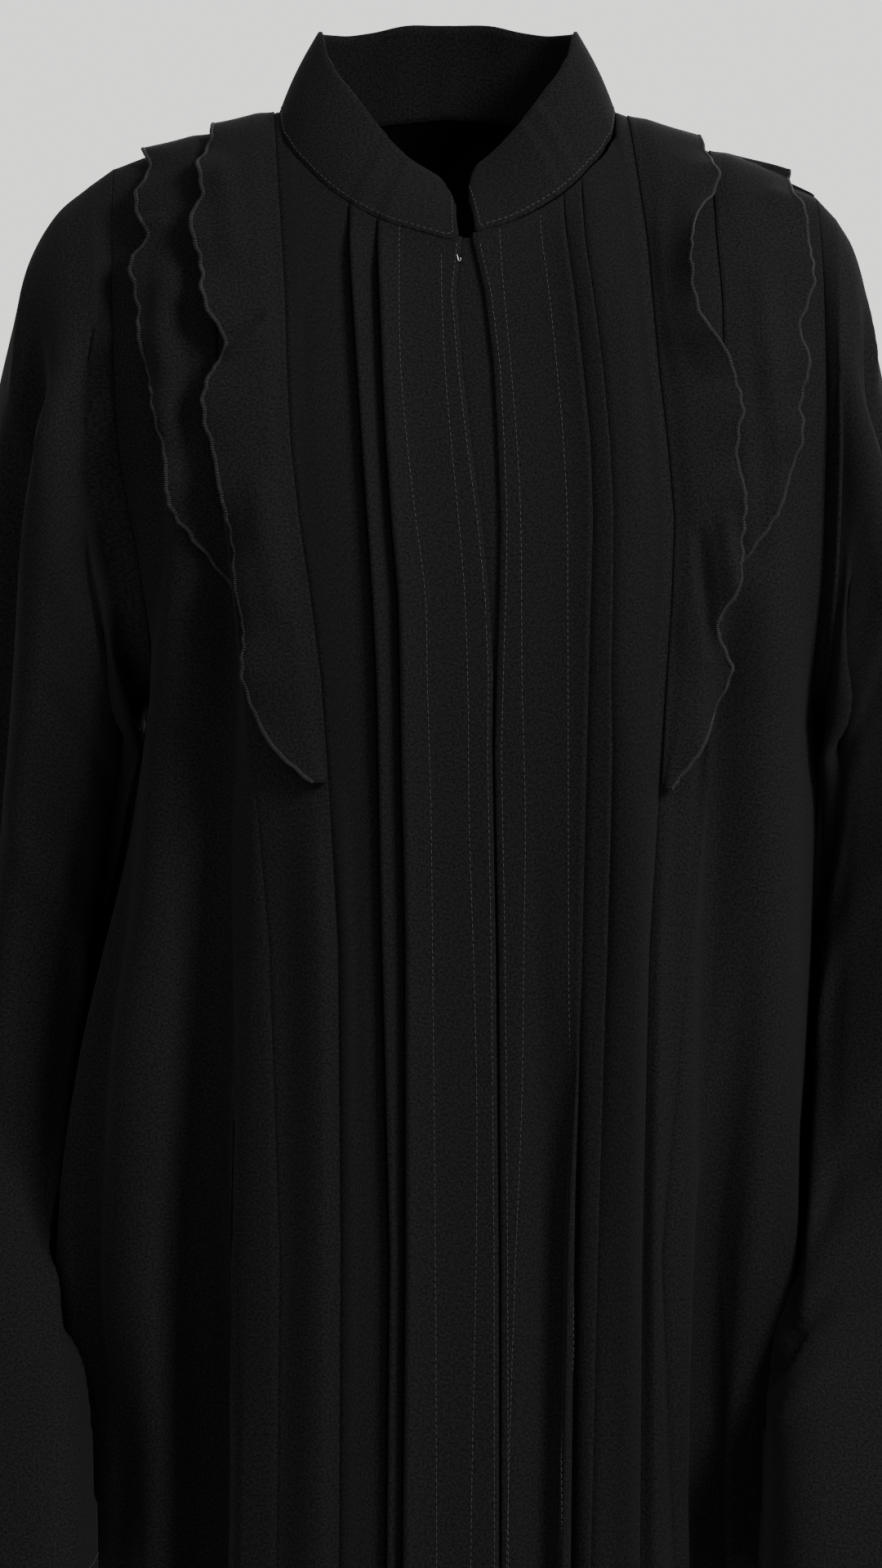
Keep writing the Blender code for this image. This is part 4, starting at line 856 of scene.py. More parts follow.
right_front = front_piece(
    "front_right", "right",
    ["edge_right", "pleat_r1 0.009", "pleat_r1 0.0", "pleat_r1 -0.0016", "pleat_r1 -0.006", "pleat_r2 0.004",
     "pleat_r2 0.0", "pleat_r2 -0.0016", "pleat_r2 -0.007", "seam_a 0.003", "seam_a"],
    [10, 5, 4, 3, 3, 3, 4, 3, 7, 1],
)
left_front = front_piece(
    "front_left", "left",
    ["edge_left", "pleat_l1 -0.009", "pleat_l1 0.0", "pleat_l1 0.0016", "pleat_l1 0.005", "pleat_l2 -0.003",
     "pleat_l2 0.0", "pleat_l2 0.0016", "pleat_l2 0.007", "seam_d -0.0055", "seam_d"],
    [10, 5, 4, 3, 2, 3, 4, 3, 6, 1],
)
right_middle = front_piece("front_right_middle", "right", ["seam_a", "seam_b"], [16])
left_middle = front_piece("front_left_middle", "left", ["seam_d", "seam_e"], [14])
right_side = front_piece("front_right_side", "right", ["seam_b", "armhole"], [38])
left_side = front_piece("front_left_side", "left", ["seam_e", "armhole"], [34])

# %% [markdown]
# Behind both front edges lies a plain strip, the underlap. It shows only in the narrow V under the
# collar, so it is a simple strip a little behind the fronts.

# %% The underlap
UNDERLAP_REACH = 0.011
UNDERLAP_TOP_X = 0.0102
UNDERLAP_BELOW = 0.0005  # its top edge below the neck seam
UNDERLAP_BEHIND = 0.0008  # clear of the folds' backs


def underlap_piece():
    shifts = np.linspace(0, 1, 7)
    top = np.full(len(shifts) + 2, float(neckline_level(np.array(UNDERLAP_TOP_X))) - UNDERLAP_BELOW)
    level = fine_levels(top)
    right, left = (column_x("edge_" + side, level[:, :1], side) for side in ("right", "left"))
    between = right + (left - right) * shifts[None, :]
    x = np.concatenate([right - UNDERLAP_REACH, between, left + UNDERLAP_REACH], axis=1)
    grid = body_point(turn_at(x, level), level)
    normals = grid_normals(grid)
    under = CLOTH + SEAM_GAP + UNDERLAP_BEHIND
    return cloth("underlap_strip_cloth", grid - under * normals, normals, FINE_CLOTH)


underlap = underlap_piece()

# %% [markdown]
# The back is one wide plain panel. It is cut on the fold, so nothing but soft folds and a few creases
# across the shoulder blades and the waist breaks it up.

# %% The back
def back_grid():
    neck_share, neck_crowding, settle_over = 0.377, 0.9, 0.35
    shares = np.concatenate([np.linspace(0, neck_share, 22), np.linspace(neck_share, 1, 34)[1:]])
    shares = np.concatenate([-shares[:0:-1], shares])
    top_x = np.empty(len(shares))
    for k, share in enumerate(shares):
        side = "right" if share < 0 else "left"
        way, span = TOWARDS[side], abs(share)
        out = float(armhole_x(side, -0.03))
        if span < neck_share + 1e-9:
            top_x[k] = way * NECK_HALF * math.sin(math.pi / 2 * span / neck_share) ** neck_crowding
        else:
            top_x[k] = way * (NECK_HALF + (out - NECK_HALF) * (span - neck_share) / (1 - neck_share))
    level = fine_levels(top_level(top_x * (1 + 1e-6), behind=True))
    turn = np.empty_like(level)
    for k, share in enumerate(shares):
        side = "right" if share < 0 else "left"
        last = edge_turn(side, level[:, k])
        if abs(share) > 1 - 1e-9:
            turn[:, k] = TOWARDS[side] * last
            continue
        at_top = float(np.abs(turn_at(top_x[k], level[0, k])))
        fixed = at_top / float(edge_turn(side, level[0, k]))
        settle = ease((level[0, k] - level[:, k]) / settle_over)
        turn[:, k] = TOWARDS[side] * last * (fixed + (abs(share) - fixed) * settle)
    return turn, level


def back_piece():
    turn, level = back_grid()
    grid = body_point(turn, level, behind=True)[:, ::-1]
    normals = grid_normals(grid)
    lift = crease_relief(BACK_CREASES, grid[..., 0], grid[..., 2]) * seam_fade(grid)
    grid = lifted(grid, normals, lift)
    return cloth("back_cloth", grid, grid_normals(grid), FINE_CLOTH)


back = back_piece()

# %% [markdown]
# The stand collar is a doubled band with interlining, so it is thicker and holds its curve. It leans
# in towards the neck, its front ends are rounded, and a soft dent or two breaks its line.

# %% The stand collar
COLLAR_DENTS = table(
    "turn half_width depth",
    (-50, 9, 0.0011), (-24, 14, -0.0006), (44, 16, 0.0005), (84, 14, -0.0006), (140, 16, 0.0010),
    (-150, 18, 0.0010),
)
COLLAR_BULGE = 0.0016
COLLAR_FRONT_END = 0.5  # height of the rounded ends, as a share of the full height
LEAN_FORWARD = 0.01  # the band leans towards a point a little in front of the neck's middle


def collar_piece():
    front_steps, back_steps, rise_steps = 52, 60, 14
    share = np.sin(np.pi / 2 * np.linspace(0, 1, front_steps + 1))
    to_right = COLLAR_END["right"] + (-NECK_HALF - COLLAR_END["right"]) * share
    to_left = COLLAR_END["left"] + (NECK_HALF - COLLAR_END["left"]) * share
    over_back = -NECK_HALF * np.cos(np.linspace(0, np.pi, back_steps + 1))[1:-1]
    x = np.concatenate([to_right, over_back, to_left[::-1]])
    behind = np.zeros(len(x), bool)
    behind[front_steps + 1 : front_steps + back_steps] = True
    level = np.where(behind, neckline_level(x, True), neckline_level(x, False))
    turn = turn_at(x, level)
    seam = np.where(behind[:, None], body_point(turn, level, True), body_point(turn, level, False))
    facing = np.where(behind[:, None], body_normal(turn, level, True), body_normal(turn, level, False))
    along = unit(np.gradient(seam, axis=0))
    seam = seam + FINE_COLLAR_LIFT * unit(np.cross(along, facing))
    way_round = np.degrees(np.arctan2(np.abs(seam[:, 0]), -seam[:, 1]))
    rise = smooth(COLLAR, "rise", way_round, key="turn")
    inward = smooth(COLLAR, "inward", way_round, key="turn")
    aim = unit(np.stack([-seam[:, 0], -seam[:, 1] - LEAN_FORWARD, np.zeros(len(x))], axis=-1))
    run = np.cumsum(np.r_[0, np.linalg.norm(np.diff(seam, axis=0), axis=1)])
    corner = np.clip(np.minimum(run, run[-1] - run) / COLLAR_CORNER, 0, 1)
    rounded = np.sqrt(np.maximum(1 - (1 - corner) ** 2, 0))
    full = COLLAR_FRONT_END + (1 - COLLAR_FRONT_END) * rounded
    signed_way = np.degrees(np.arctan2(seam[:, 0], -seam[:, 1]))
    dent = np.zeros(len(x))
    for k, middle in enumerate(COLLAR_DENTS["turn"]):
        off = degrees_apart(signed_way, middle) / COLLAR_DENTS["half_width"][k]
        dent += COLLAR_DENTS["depth"][k] * hump(off)
    rows = []
    for part in np.linspace(1, 0, rise_steps + 1):
        up = part * full
        bulge = COLLAR_BULGE * math.sin(math.pi * part) - dent * part
        raised = np.array([0, 0, 1]) * (rise * up)[:, None]
        rows.append(seam + aim * (inward * up - bulge)[:, None] + raised)
    grid = np.array(rows)
    return cloth("collar_stand_cloth", grid, grid_normals(grid), FINE_BAND), grid


collar, collar_grid = collar_piece()

# %% [markdown]
# Each sleeve starts at the armhole, where its first ring is the seam itself, and then takes the shape
# of its rings. Long troughs run down it from the crown, and shorter ones gather in the crook.

# %% The sleeves
SLEEVE_CREASES = {
    "right": table(
        "around0 row0 around1 row1 half_width height",
        (95, 7.0, 150, 9.5, 12, -0.0050), (80, 8.5, 140, 11.0, 12, 0.0035),
        (60, 10.0, 120, 12.5, 12, -0.0040), (20, 3.0, 60, 6.0, 12, 0.0030),
        (200, 8.0, 250, 10.0, 14, -0.0040), (300, 9.0, 340, 12.0, 14, 0.0030),
        (96, 0.6, 92, 4.5, 9, -0.0050), (74, 1.0, 70, 7.0, 10, 0.0045),
    ),
    "left": table(
        "around0 row0 around1 row1 half_width height",
        (95, 6.5, 150, 9.0, 12, -0.0050), (80, 8.5, 135, 11.0, 12, 0.0035),
        (55, 10.0, 120, 12.5, 12, -0.0040), (25, 3.0, 60, 5.5, 12, 0.0030),
        (200, 8.0, 250, 10.0, 14, -0.0040), (300, 9.0, 340, 12.0, 14, 0.0030),
        (98, 12.8, 168, 13.8, 17, -0.0070), (98, 13.5, 160, 14.4, 15, 0.0040),
        (46, 2.5, 96, 6.5, 13, 0.0040),
    ),
}
ROWS_PER_RING = 9
AROUND_PER_STEP = 4
SLEEVE_DEEPER = 1 + 1.5 * DEEPER
FOLD_ROWS = 3  # rings over which a sleeve's fold starts and ends
SQUARER = 1.2  # how much more square the inner side gets, from the first ring over the next four


def sleeve_relief(side, around, row):
    """How far folds, creases and the trough beside the armhole lift a sleeve's cloth."""
    folds, creases = SLEEVE_FOLDS[side], SLEEVE_CREASES[side]
    row = row[:, None]
    lift = np.zeros((len(row), len(around)))
    for k, start in enumerate(folds["start"]):
        first, last = folds["from_row"][k], folds["to_row"][k]
        run = np.clip((row - first) / (last - first), 0, 1)
        middle = start + (folds["end"][k] - start) * run
        across = degrees_apart(around[None, :], middle) / folds["half_width"][k]
        stays = 1.0 if last >= row[-1, 0] - 1 else ease((last - row) / FOLD_ROWS)
        grown = ease((row - first) / FOLD_ROWS) * stays
        lift += SLEEVE_DEEPER * folds["height"][k] * grown * hump(across)
    in_front = ease((around - 55) / 30) * ease((172 - around) / 25)  # from 55 to 172 degrees round
    beside_seam = np.exp(-(((row - 1.3) / 1.1) ** 2)) * ease(row / 0.8)  # deepest 1.3 rings down
    lift -= ARMHOLE_TROUGH[side] * beside_seam * in_front[None, :]
    for k, first in enumerate(creases["around0"]):
        run = (row - creases["row0"][k]) / (creases["row1"][k] - creases["row0"][k])
        middle = first + (creases["around1"][k] - first) * np.clip(run, 0, 1)
        across = degrees_apart(around[None, :], middle) / creases["half_width"][k]
        ends = ease((run + 0.2) / 0.5) * ease((1.2 - run) / 0.5)
        lift += creases["height"][k] * ends * hump(across)
    return lift


def beside_body(points, side, row):
    """Keeps a sleeve's points beside the body: outside its contour at their own level."""
    way = TOWARDS[side]
    under = underarm(side) - points[..., 2]
    beside = BESIDE_BODY - 0.0022 * (1 - ease((under - 0.01) / 0.05))  # closer just below the underarm
    everywhere, below_underarm = (np.clip(way_down, 0, 1)[:, None] for way_down in (row - 5, (row - 1.5) / 2))
    share = np.maximum(everywhere, below_underarm * ease(under / 0.02))
    limit = np.zeros(points.shape[:-1])
    for behind in (False, True):
        contour = body_point(way * CONTOUR_TURNS, points[..., 2:], behind)
        apart = np.abs(contour[..., 1] - points[..., 1:2])
        round_it = np.sqrt(np.maximum(beside[..., None] ** 2 - apart**2, 0))
        beyond = np.where(apart < beside[..., None], way * contour[..., 0] + round_it, 0)
        limit = np.maximum(limit, beyond.max(axis=-1))
    out = way * points[..., 0]
    points[..., 0] = way * (out + np.maximum(limit - out, 0) * share)
    return points


def sleeve_piece(side):
    way, rings = TOWARDS[side], SLEEVES[side]
    rings = dict(rings, ring=np.arange(len(rings["deep"]), dtype=float))
    steps = ARMHOLE_STEPS * AROUND_PER_STEP
    top, bottom = shoulder_end(side), underarm(side)
    half_turn = np.pi * np.arange(steps + 1) / steps
    around = np.concatenate([half_turn, 2 * np.pi - half_turn[-2:0:-1]])
    share = (1 - np.cos(around)) / 2
    level = top + (bottom - top) * share
    behind = around > np.pi + 1e-9
    turn = edge_turn(side, level) * way
    seam = np.where(behind[:, None], body_point(turn, level, True), body_point(turn, level, False))
    seam[np.abs(np.sin(around)) < 1e-9, 1] = 0
    seam[:, 0] += way * BESIDE_SEAM
    loop_y, loop_deep = seam[:, 1], np.abs(seam[:, 1]).max()
    count = len(rings["ring"])
    row = np.arange(count * ROWS_PER_RING + 1) / ROWS_PER_RING
    grid = np.empty((len(row), len(around), 3))
    for k, place in enumerate(row):
        ring = max(place - 1, 0)
        at = {name: float(smooth(rings, name, ring, key="ring")) for name in rings}
        blend = ease((ring + 1) / 5)  # the first rings keep the armhole's own outline
        at["inner_x"] -= way * CLOSER * math.exp(-(((ring - 5.0) / 3.4) ** 2))
        squarer = np.where(np.cos(around) < 0, 1 / (1 + SQUARER * ease((ring - 1) / 4)), 1)
        cosine = np.sign(np.cos(around)) * np.abs(np.cos(around)) ** squarer
        sine = np.sign(np.sin(around)) * np.abs(np.sin(around)) ** squarer
        x = at["outer_x"] + (at["inner_x"] - at["outer_x"]) * (1 - cosine) / 2
        z = at["outer_z"] + (at["inner_z"] - at["outer_z"]) * (1 - cosine) / 2
        y = (1 - blend) * loop_y * at["deep"] / loop_deep - blend * at["deep"] * sine
        points = np.stack([x, at["middle_y"] + y, z], axis=-1)
        grid[k] = points if place >= 1 else seam + (points - seam) * place
    normals = -way * grid_normals(grid, looped=True)
    grid = lifted(grid, normals, sleeve_relief(side, np.degrees(around), row))
    grid = beside_body(grid, side, row)
    normals = -way * grid_normals(grid, looped=True)
    if way > 0:
        grid, normals = grid[:, ::-1], normals[:, ::-1]
    return cloth(f"sleeve_{side}_cloth", grid, normals, FINE_CLOTH, looped=True), grid, normals


sleeve_right, right_sleeve_grid, right_sleeve_normals = sleeve_piece("right")
sleeve_left, left_sleeve_grid, left_sleeve_normals = sleeve_piece("left")

# %% [markdown]
# The ruffles are single layers that flute because their free edge is longer than the seam. Their
# waves are counted from the table, so each flute sits where it was measured.

# %% The ruffles
ROWS_PER_WAVE = 16
RUFFLE_CREASES = {
    "ruffle_right_inner": table(
        "x0 z0 x1 z1 half_width height",
        (-0.112, -0.137, -0.093, -0.121, 0.006, 0.0036), (-0.111, -0.130, -0.096, -0.114, 0.005, -0.0030),
        (-0.118, -0.030, -0.110, -0.080, 0.010, 0.0022), (-0.096, -0.200, -0.086, -0.270, 0.010, 0.0020),
    ),
    "ruffle_right_outer": table(
        "x0 z0 x1 z1 half_width height",
        (-0.160, -0.064, -0.148, -0.060, 0.006, 0.0030), (-0.148, -0.110, -0.140, -0.180, 0.010, 0.0020),
    ),
    "ruffle_left_inner": table(
        "x0 z0 x1 z1 half_width height",
        (0.129, -0.228, 0.133, -0.288, 0.006, -0.0050), (0.140, -0.220, 0.142, -0.264, 0.006, 0.0036),
        (0.118, -0.050, 0.115, -0.115, 0.010, -0.0024), (0.124, -0.124, 0.136, -0.144, 0.010, 0.0014),
    ),
    "ruffle_left_outer": table(
        "x0 z0 x1 z1 half_width height",
        (0.170, -0.042, 0.178, -0.052, 0.009, 0.0014), (0.164, -0.090, 0.166, -0.160, 0.010, 0.0020),
    ),
}


def short_creases(creases, x, level):
    """Straight creases with faded ends, as a lift of the cloth."""
    lift = np.zeros(x.shape)
    for k, height in enumerate(creases["height"]):
        start = np.array([creases["x0"][k], creases["z0"][k]])
        run = np.array([creases["x1"][k], creases["z1"][k]]) - start
        where = ((x - start[0]) * run[0] + (level - start[1]) * run[1]) / (run**2).sum()
        inside = np.clip(where, 0, 1)
        off = np.hypot(x - start[0] - inside * run[0], level - start[1] - inside * run[1])
        ends = ease((where + 0.25) / 0.5) * ease((1.25 - where) / 0.5)
        lift += height * hump(off / creases["half_width"][k]) * ends
    return lift


ON_THE_SEAM = 0.0003  # between a ruffle's sewn edge and the cloth under it
OFF_THE_CLOTH = 0.0012  # more, away from the seam
OVER_THE_OUTER = 0.0026  # the inner ruffles lie over the outer ones
PUCKER = 0.0008  # how far the overlocked edge wanders in and out


def ruffle_piece(name, plan):
    """A fluted strip from its seam to its free edge, and that edge with the ways it faces and ends."""
    side, way, edge = plan["side"], TOWARDS[plan["side"]], plan["edge"]
    waves = np.array(plan["waves"])
    first, last = float(edge["level"][0]), float(edge["level"][-1])
    down = [np.linspace(waves[k], waves[k + 1], ROWS_PER_WAVE + 1)[:-1] for k in range(len(waves) - 1)]
    fall = (np.concatenate(down + [[waves[-1]]]) - first) / (last - first) * RUFFLE_END
    across = np.linspace(0, 1, 21)
    top_seam = float(column_x(plan["seam"], TOP_OF_LINES, side))
    top_x = top_seam + way * BESIDE_SEAM + (float(edge["x"][0]) - top_seam) * across
    top = shoulder_level(top_x) - 0.0002
    level = top[None, :] + (last - top[None, :]) * fall[:, None]
    count = np.interp(-level, -waves, np.arange(len(waves), dtype=float))
    seam_x = column_x(plan["seam"], level, side) + way * BESIDE_SEAM
    edge_x = smooth(edge, "x", level)
    puckers = PUCKER * np.sin(level / 0.0016 + 2 * np.sin(level / 0.011)) * np.abs(np.sin(level / 0.021))
    puckers = puckers * across[None, :] ** 5 * ease((top[None, :] - level) / 0.01)
    x = seam_x + (edge_x - seam_x) * across[None, :] + puckers
    turn = turn_at(x, level)
    base, normals = body_point(turn, level), body_normal(turn, level)
    normals[0, :, 1] = 0
    normals = unit(normals)
    stand, size = smooth(edge, "stand", level), np.maximum(smooth(edge, "wave", level), 0)
    down_the_ruffle = ease((top[None, :] - level) / 0.05)
    from_seam = ease(across[None, :] / 0.3)
    clear = OFF_THE_CLOTH * from_seam * (1 + 0.5 * (1 - down_the_ruffle))
    lowest = (FINE_CLOTH + FINE_RUFFLE) / 2 + ON_THE_SEAM + clear
    over = (OVER_THE_OUTER if name.endswith("inner") else 0.0) * from_seam * down_the_ruffle
    lean = across[None, :] ** 1.15
    wave = 0.5 - 0.5 * np.cos(2 * np.pi * count)
    stand = 0.75 * stand * (0.3 + 0.7 * down_the_ruffle)
    flutes = 0.5 * size * (wave - 0.4) * across[None, :] ** 3
    height = lowest + over * across[None, :] ** 0.5 + lean * stand + flutes
    height = height + short_creases(RUFFLE_CREASES[name], x, level) * ease(across[None, :] / 0.2)
    body_relief = crease_relief(CREASES, x, level)
    grid = base + (np.maximum(height, lowest) + body_relief)[..., None] * normals
    if way < 0:
        grid = grid[:, ::-1]
    normals = grid_normals(grid)
    free_edge = 0 if way < 0 else -1
    piece = cloth(name + "_cloth", grid, normals, FINE_RUFFLE)
    inside = grid[:, 1] if way < 0 else grid[:, -2]
    return piece, grid[:, free_edge], normals[:, free_edge], unit(grid[:, free_edge] - inside)


ruffle_parts = {name: ruffle_piece(name, plan) for name, plan in RUFFLES.items()}

# %% [markdown]
# Sewing is what repeats, so Geometry Nodes make it. A path with a facing direction is cut into equal
# steps, a small stitch is set on each step, lying along the path, and the lot is turned into one mesh.

# %% Tree that lays a stitch along a path
def path_object(name, lines):
    """A mesh of polylines that carries which way the cloth faces."""
    points, edges = [], []
    for path, _ in lines:
        edges += [(len(points) + i, len(points) + i + 1) for i in range(len(path) - 1)]
        points += [tuple(p) for p in path]
    mesh = bpy.data.meshes.new(name)
    mesh.from_pydata(points, edges, [])
    facing = mesh.attributes.new("facing", "FLOAT_VECTOR", "POINT")
    facing.data.foreach_set("vector", np.concatenate([n for _, n in lines]).astype(np.float32).ravel())
    return in_scene(name, mesh)


def sewing_tree():
    tree = bpy.data.node_groups.new("sew along a path", "GeometryNodeTree")
    for label, way, kind in (
        ("Geometry", "INPUT", "Geometry"), ("Pitch", "INPUT", "Float"), ("Stitch", "INPUT", "Object"),
        ("Thread", "INPUT", "Material"), ("Geometry", "OUTPUT", "Geometry"),
    ):
        tree.interface.new_socket(label, in_out=way, socket_type="NodeSocket" + kind)

    def node(kind, **settings):
        made = tree.nodes.new(kind)
        for key, value in settings.items():
            setattr(made, key, value)
        return made

    given, result = node("NodeGroupInput"), node("NodeGroupOutput")
    curve = node("GeometryNodeMeshToCurve")
    steps = node("GeometryNodeResampleCurve", mode="LENGTH")
    place = node("GeometryNodeInstanceOnPoints")
    stitch = node("GeometryNodeObjectInfo")
    tangent = node("GeometryNodeInputTangent")
    facing = node("GeometryNodeInputNamedAttribute", data_type="FLOAT_VECTOR")
    facing.inputs["Name"].default_value = "facing"
    along = node("FunctionNodeAlignRotationToVector", axis="X")
    upright = node("FunctionNodeAlignRotationToVector", axis="Z", pivot_axis="X")
    real = node("GeometryNodeRealizeInstances")
    paint = node("GeometryNodeSetMaterial")
    for source, output, target, socket in (
        (given, "Geometry", curve, "Mesh"), (curve, "Curve", steps, "Curve"),
        (given, "Pitch", steps, "Length"), (given, "Stitch", stitch, "Object"),
        (steps, "Curve", place, "Points"), (stitch, "Geometry", place, "Instance"),
        (tangent, "Tangent", along, "Vector"), (along, "Rotation", upright, "Rotation"),
        (facing, "Attribute", upright, "Vector"), (upright, "Rotation", place, "Rotation"),
        (place, "Instances", real, "Geometry"), (real, "Geometry", paint, "Geometry"),
        (given, "Thread", paint, "Material"), (paint, "Geometry", result, "Geometry"),
    ):
        tree.links.new(source.outputs[output], target.inputs[socket])
    return tree


SEWING = sewing_tree()


def thread_shape(name, path, radius, sides=4):
    """A short thread along a path, as a small closed tube."""
    path = np.array(path, float)
    along = unit(np.gradient(path, axis=0))
    almost_up = np.array([0.13, 0.07, 1.0])  # a direction that no thread here runs in
    points, faces = [], []
    for centre, ahead in zip(path, along):
        across = unit(np.cross(ahead, almost_up))
        up = np.cross(across, ahead)
        for k in range(sides):
            a = 2 * math.pi * k / sides
            points.append(tuple(centre + radius * (math.cos(a) * across + math.sin(a) * up)))
    for i in range(len(path) - 1):
        for k in range(sides):
            a, b = i * sides + k, i * sides + (k + 1) % sides
            faces.append((a, b, b + sides, a + sides))
    faces.append(tuple(reversed(range(sides))))
    faces.append(tuple(range(len(points) - sides, len(points))))
    mesh = bpy.data.meshes.new(name)
    mesh.from_pydata(points, [], faces)
    mesh.shade_smooth()
    return in_scene(name, mesh)


def sew(name, lines, pitch, stitch):
    """Lays a stitch along each line, which is a path and the ways the cloth faces on it."""
    carrier = path_object(name + " path", lines)
    sewing = carrier.modifiers.new("sewing", "NODES")
    sewing.node_group = SEWING
    sockets = {s.name: s.identifier for s in SEWING.interface.items_tree if s.in_out == "INPUT"}
    sewing[sockets["Pitch"]] = pitch
    sewing[sockets["Stitch"]] = stitch
    sewing[sockets["Thread"]] = THREAD
    bpy.context.view_layer.update()
    ready = carrier.evaluated_get(bpy.context.evaluated_depsgraph_get())
    mesh = bpy.data.meshes.new_from_object(ready)
    mesh.name = name
    carrier.modifiers.remove(sewing)
    bpy.data.objects.remove(carrier)
    print(f"{name}: {len(mesh.polygons)} faces")
    return in_scene(name, mesh)


# %% [markdown]
# Topstitching is a dashed line about two stitches to the half centimetre. Each dash dips into the
# cloth at its ends, so the stitch is a shallow arc.

# %% Topstitching
STITCH_LINES = table(
    "level right_inner right_outer left_inner left_outer",
    (-0.00, -0.0253, -0.0035, 0.0273, 0.0481), (-0.07, -0.0253, -0.0035, 0.0273, 0.0491),
    (-0.10, -0.0252, -0.0032, 0.0293, 0.0524), (-0.14, -0.0243, -0.0015, 0.0327, 0.0561),
    (-0.18, -0.0210, 0.0017, 0.0356, 0.0592), (-0.22, -0.0165, 0.0054, 0.0374, 0.0609),
    (-0.26, -0.0116, 0.0086, 0.0377, 0.0609), (-0.30, -0.0107, 0.0100, 0.0379, 0.0609),
    (-0.38, -0.0086, 0.0109, 0.0396, 0.0609), (-0.44, -0.0080, 0.0129, 0.0388, 0.0609),
    (-0.52, -0.0072, 0.0147, 0.0377, 0.0609), (-0.60, -0.0065, 0.0143, 0.0344, 0.0609),
    (-0.70, -0.0060, 0.0123, 0.0311, 0.0609), (-1.36, -0.0060, 0.0123, 0.0311, 0.0720),
)
THREAD_RADIUS = 0.00021
STITCH_PITCH = 0.0034
STITCH = thread_shape(
    "one stitch", [(-0.0012, 0, -0.0003), (-0.0007, 0, 0.0001), (0.0007, 0, 0.0001), (0.0012, 0, -0.0003)],
    THREAD_RADIUS,
)
PATH_STEPS = 240


def line_on_front(x_of, first, last):
    level = np.linspace(first, last, PATH_STEPS)
    x = x_of(level)
    turn = turn_at(x, level)
    grid, normals = body_point(turn, level), body_normal(turn, level)
    lift = crease_relief(CREASES, x, level)
    return grid + (lift + FINE_CLOTH / 2 + ABOVE_CLOTH)[:, None] * normals, normals


def front_line(name, extra=0.0):
    if name.startswith("edge"):
        return lambda level: straight(LINES, name, level) + extra
    return lambda level: smooth(STITCH_LINES, name, level)


STITCHES_END = HEM_LEVEL + 0.004
FRONT_LINES = [
    (front_line("right_inner"), -0.062), (front_line("right_outer"), -0.080),
    (front_line("edge_right", -0.0022), -0.074), (front_line("left_inner"), -0.066),
    (front_line("left_outer"), -0.058), (front_line("edge_left", 0.0030), -0.074),
]
topstitching = sew(
    "topstitching", [line_on_front(x_of, first, STITCHES_END) for x_of, first in FRONT_LINES],
    STITCH_PITCH, STITCH,
)

# %% [markdown]
# The collar has one more line of stitches, close to its edge: down one front end, along the seam and
# up the other end. The hem and the cuffs are turned up and held by a line of their own.

# %% Collar, hem and cuff stitching
COLLAR_INSET = 0.0024
HEM_DEPTH = 0.014


def on_grid(grid, row, column):
    """A point between the points of a grid."""
    r, c = int(min(row, len(grid) - 2)), int(min(column, grid.shape[1] - 2))
    u, v = row - r, column - c
    top = grid[r, c] * (1 - v) + grid[r, c + 1] * v
    low = grid[r + 1, c] * (1 - v) + grid[r + 1, c + 1] * v
    return top * (1 - u) + low * u


def collar_line():
    """Down one front end, along the seam and up the other end, at one distance from the edge."""
    rows, cols = collar_grid.shape[:2]
    outward = -grid_normals(collar_grid)
    run = np.cumsum(np.r_[0, np.linalg.norm(np.diff(collar_grid[-1], axis=0), axis=1)])
    ends = (COLLAR_INSET, run[-1] - COLLAR_INSET)
    first, last = (float(np.interp(at, run, np.arange(cols))) for at in ends)
    down_the_end = np.linspace(1.0, rows - 2.2, 18)
    along = []
    for column in np.linspace(first, last, 260):
        here = int(round(column))
        height = np.linalg.norm(collar_grid[-1, here] - collar_grid[0, here])
        along.append((rows - 1 - (rows - 1) * COLLAR_INSET / height, column))
    places = [(row, first) for row in down_the_end] + along + [(row, last) for row in down_the_end[::-1]]
    path = np.array([on_grid(collar_grid, *place) for place in places])
    facing = unit(np.array([on_grid(outward, *place) for place in places]))
    return path + (FINE_BAND / 2 + ABOVE_CLOTH) * facing, facing


def hem_line(first_turn, last_turn, behind):
    level = np.full(PATH_STEPS, HEM_LEVEL + HEM_DEPTH)
    turn = np.linspace(first_turn, last_turn, PATH_STEPS)
    facing = body_normal(turn, level, behind)
    return body_point(turn, level, behind) + (FINE_CLOTH / 2 + ABOVE_CLOTH) * facing, facing


def cuff_line(grid, normals):
    down = np.linalg.norm(grid[-1] - grid[-2], axis=1).mean()
    row = len(grid) - 1 - HEM_DEPTH / down
    path = np.array([on_grid(grid, row, c) for c in range(grid.shape[1] - 1)])
    facing = unit(np.array([on_grid(normals, row, c) for c in range(grid.shape[1] - 1)]))
    path = path + (FINE_CLOTH / 2 + ABOVE_CLOTH) * facing
    return np.concatenate([path, path[:1]]), np.concatenate([facing, facing[:1]])


NEAR_SIDE, NEAR_EDGE = 89, 0.2  # turns at which the hem's stitches end
right_edge, left_edge = (
    float(turn_at(straight(LINES, "edge_" + side, HEM_LEVEL), HEM_LEVEL)) for side in ("right", "left")
)
edge_lines = [
    collar_line(), hem_line(-NEAR_SIDE, right_edge - NEAR_EDGE, False),
    hem_line(left_edge + NEAR_EDGE, NEAR_SIDE, False), hem_line(-NEAR_SIDE, NEAR_SIDE, True),
    cuff_line(right_sleeve_grid, right_sleeve_normals), cuff_line(left_sleeve_grid, left_sleeve_normals),
]
edge_stitching = sew("edge_stitching", edge_lines, STITCH_PITCH, STITCH)

# %% [markdown]
# A small wire hook at the top of the right front edge closes the collar. Its eye is on the other edge,
# under the cloth.

# %% The hook
HOOK_LEVEL = -0.0815
HOOK_INSET = 0.0012
HOOK_RADIUS = 0.00017


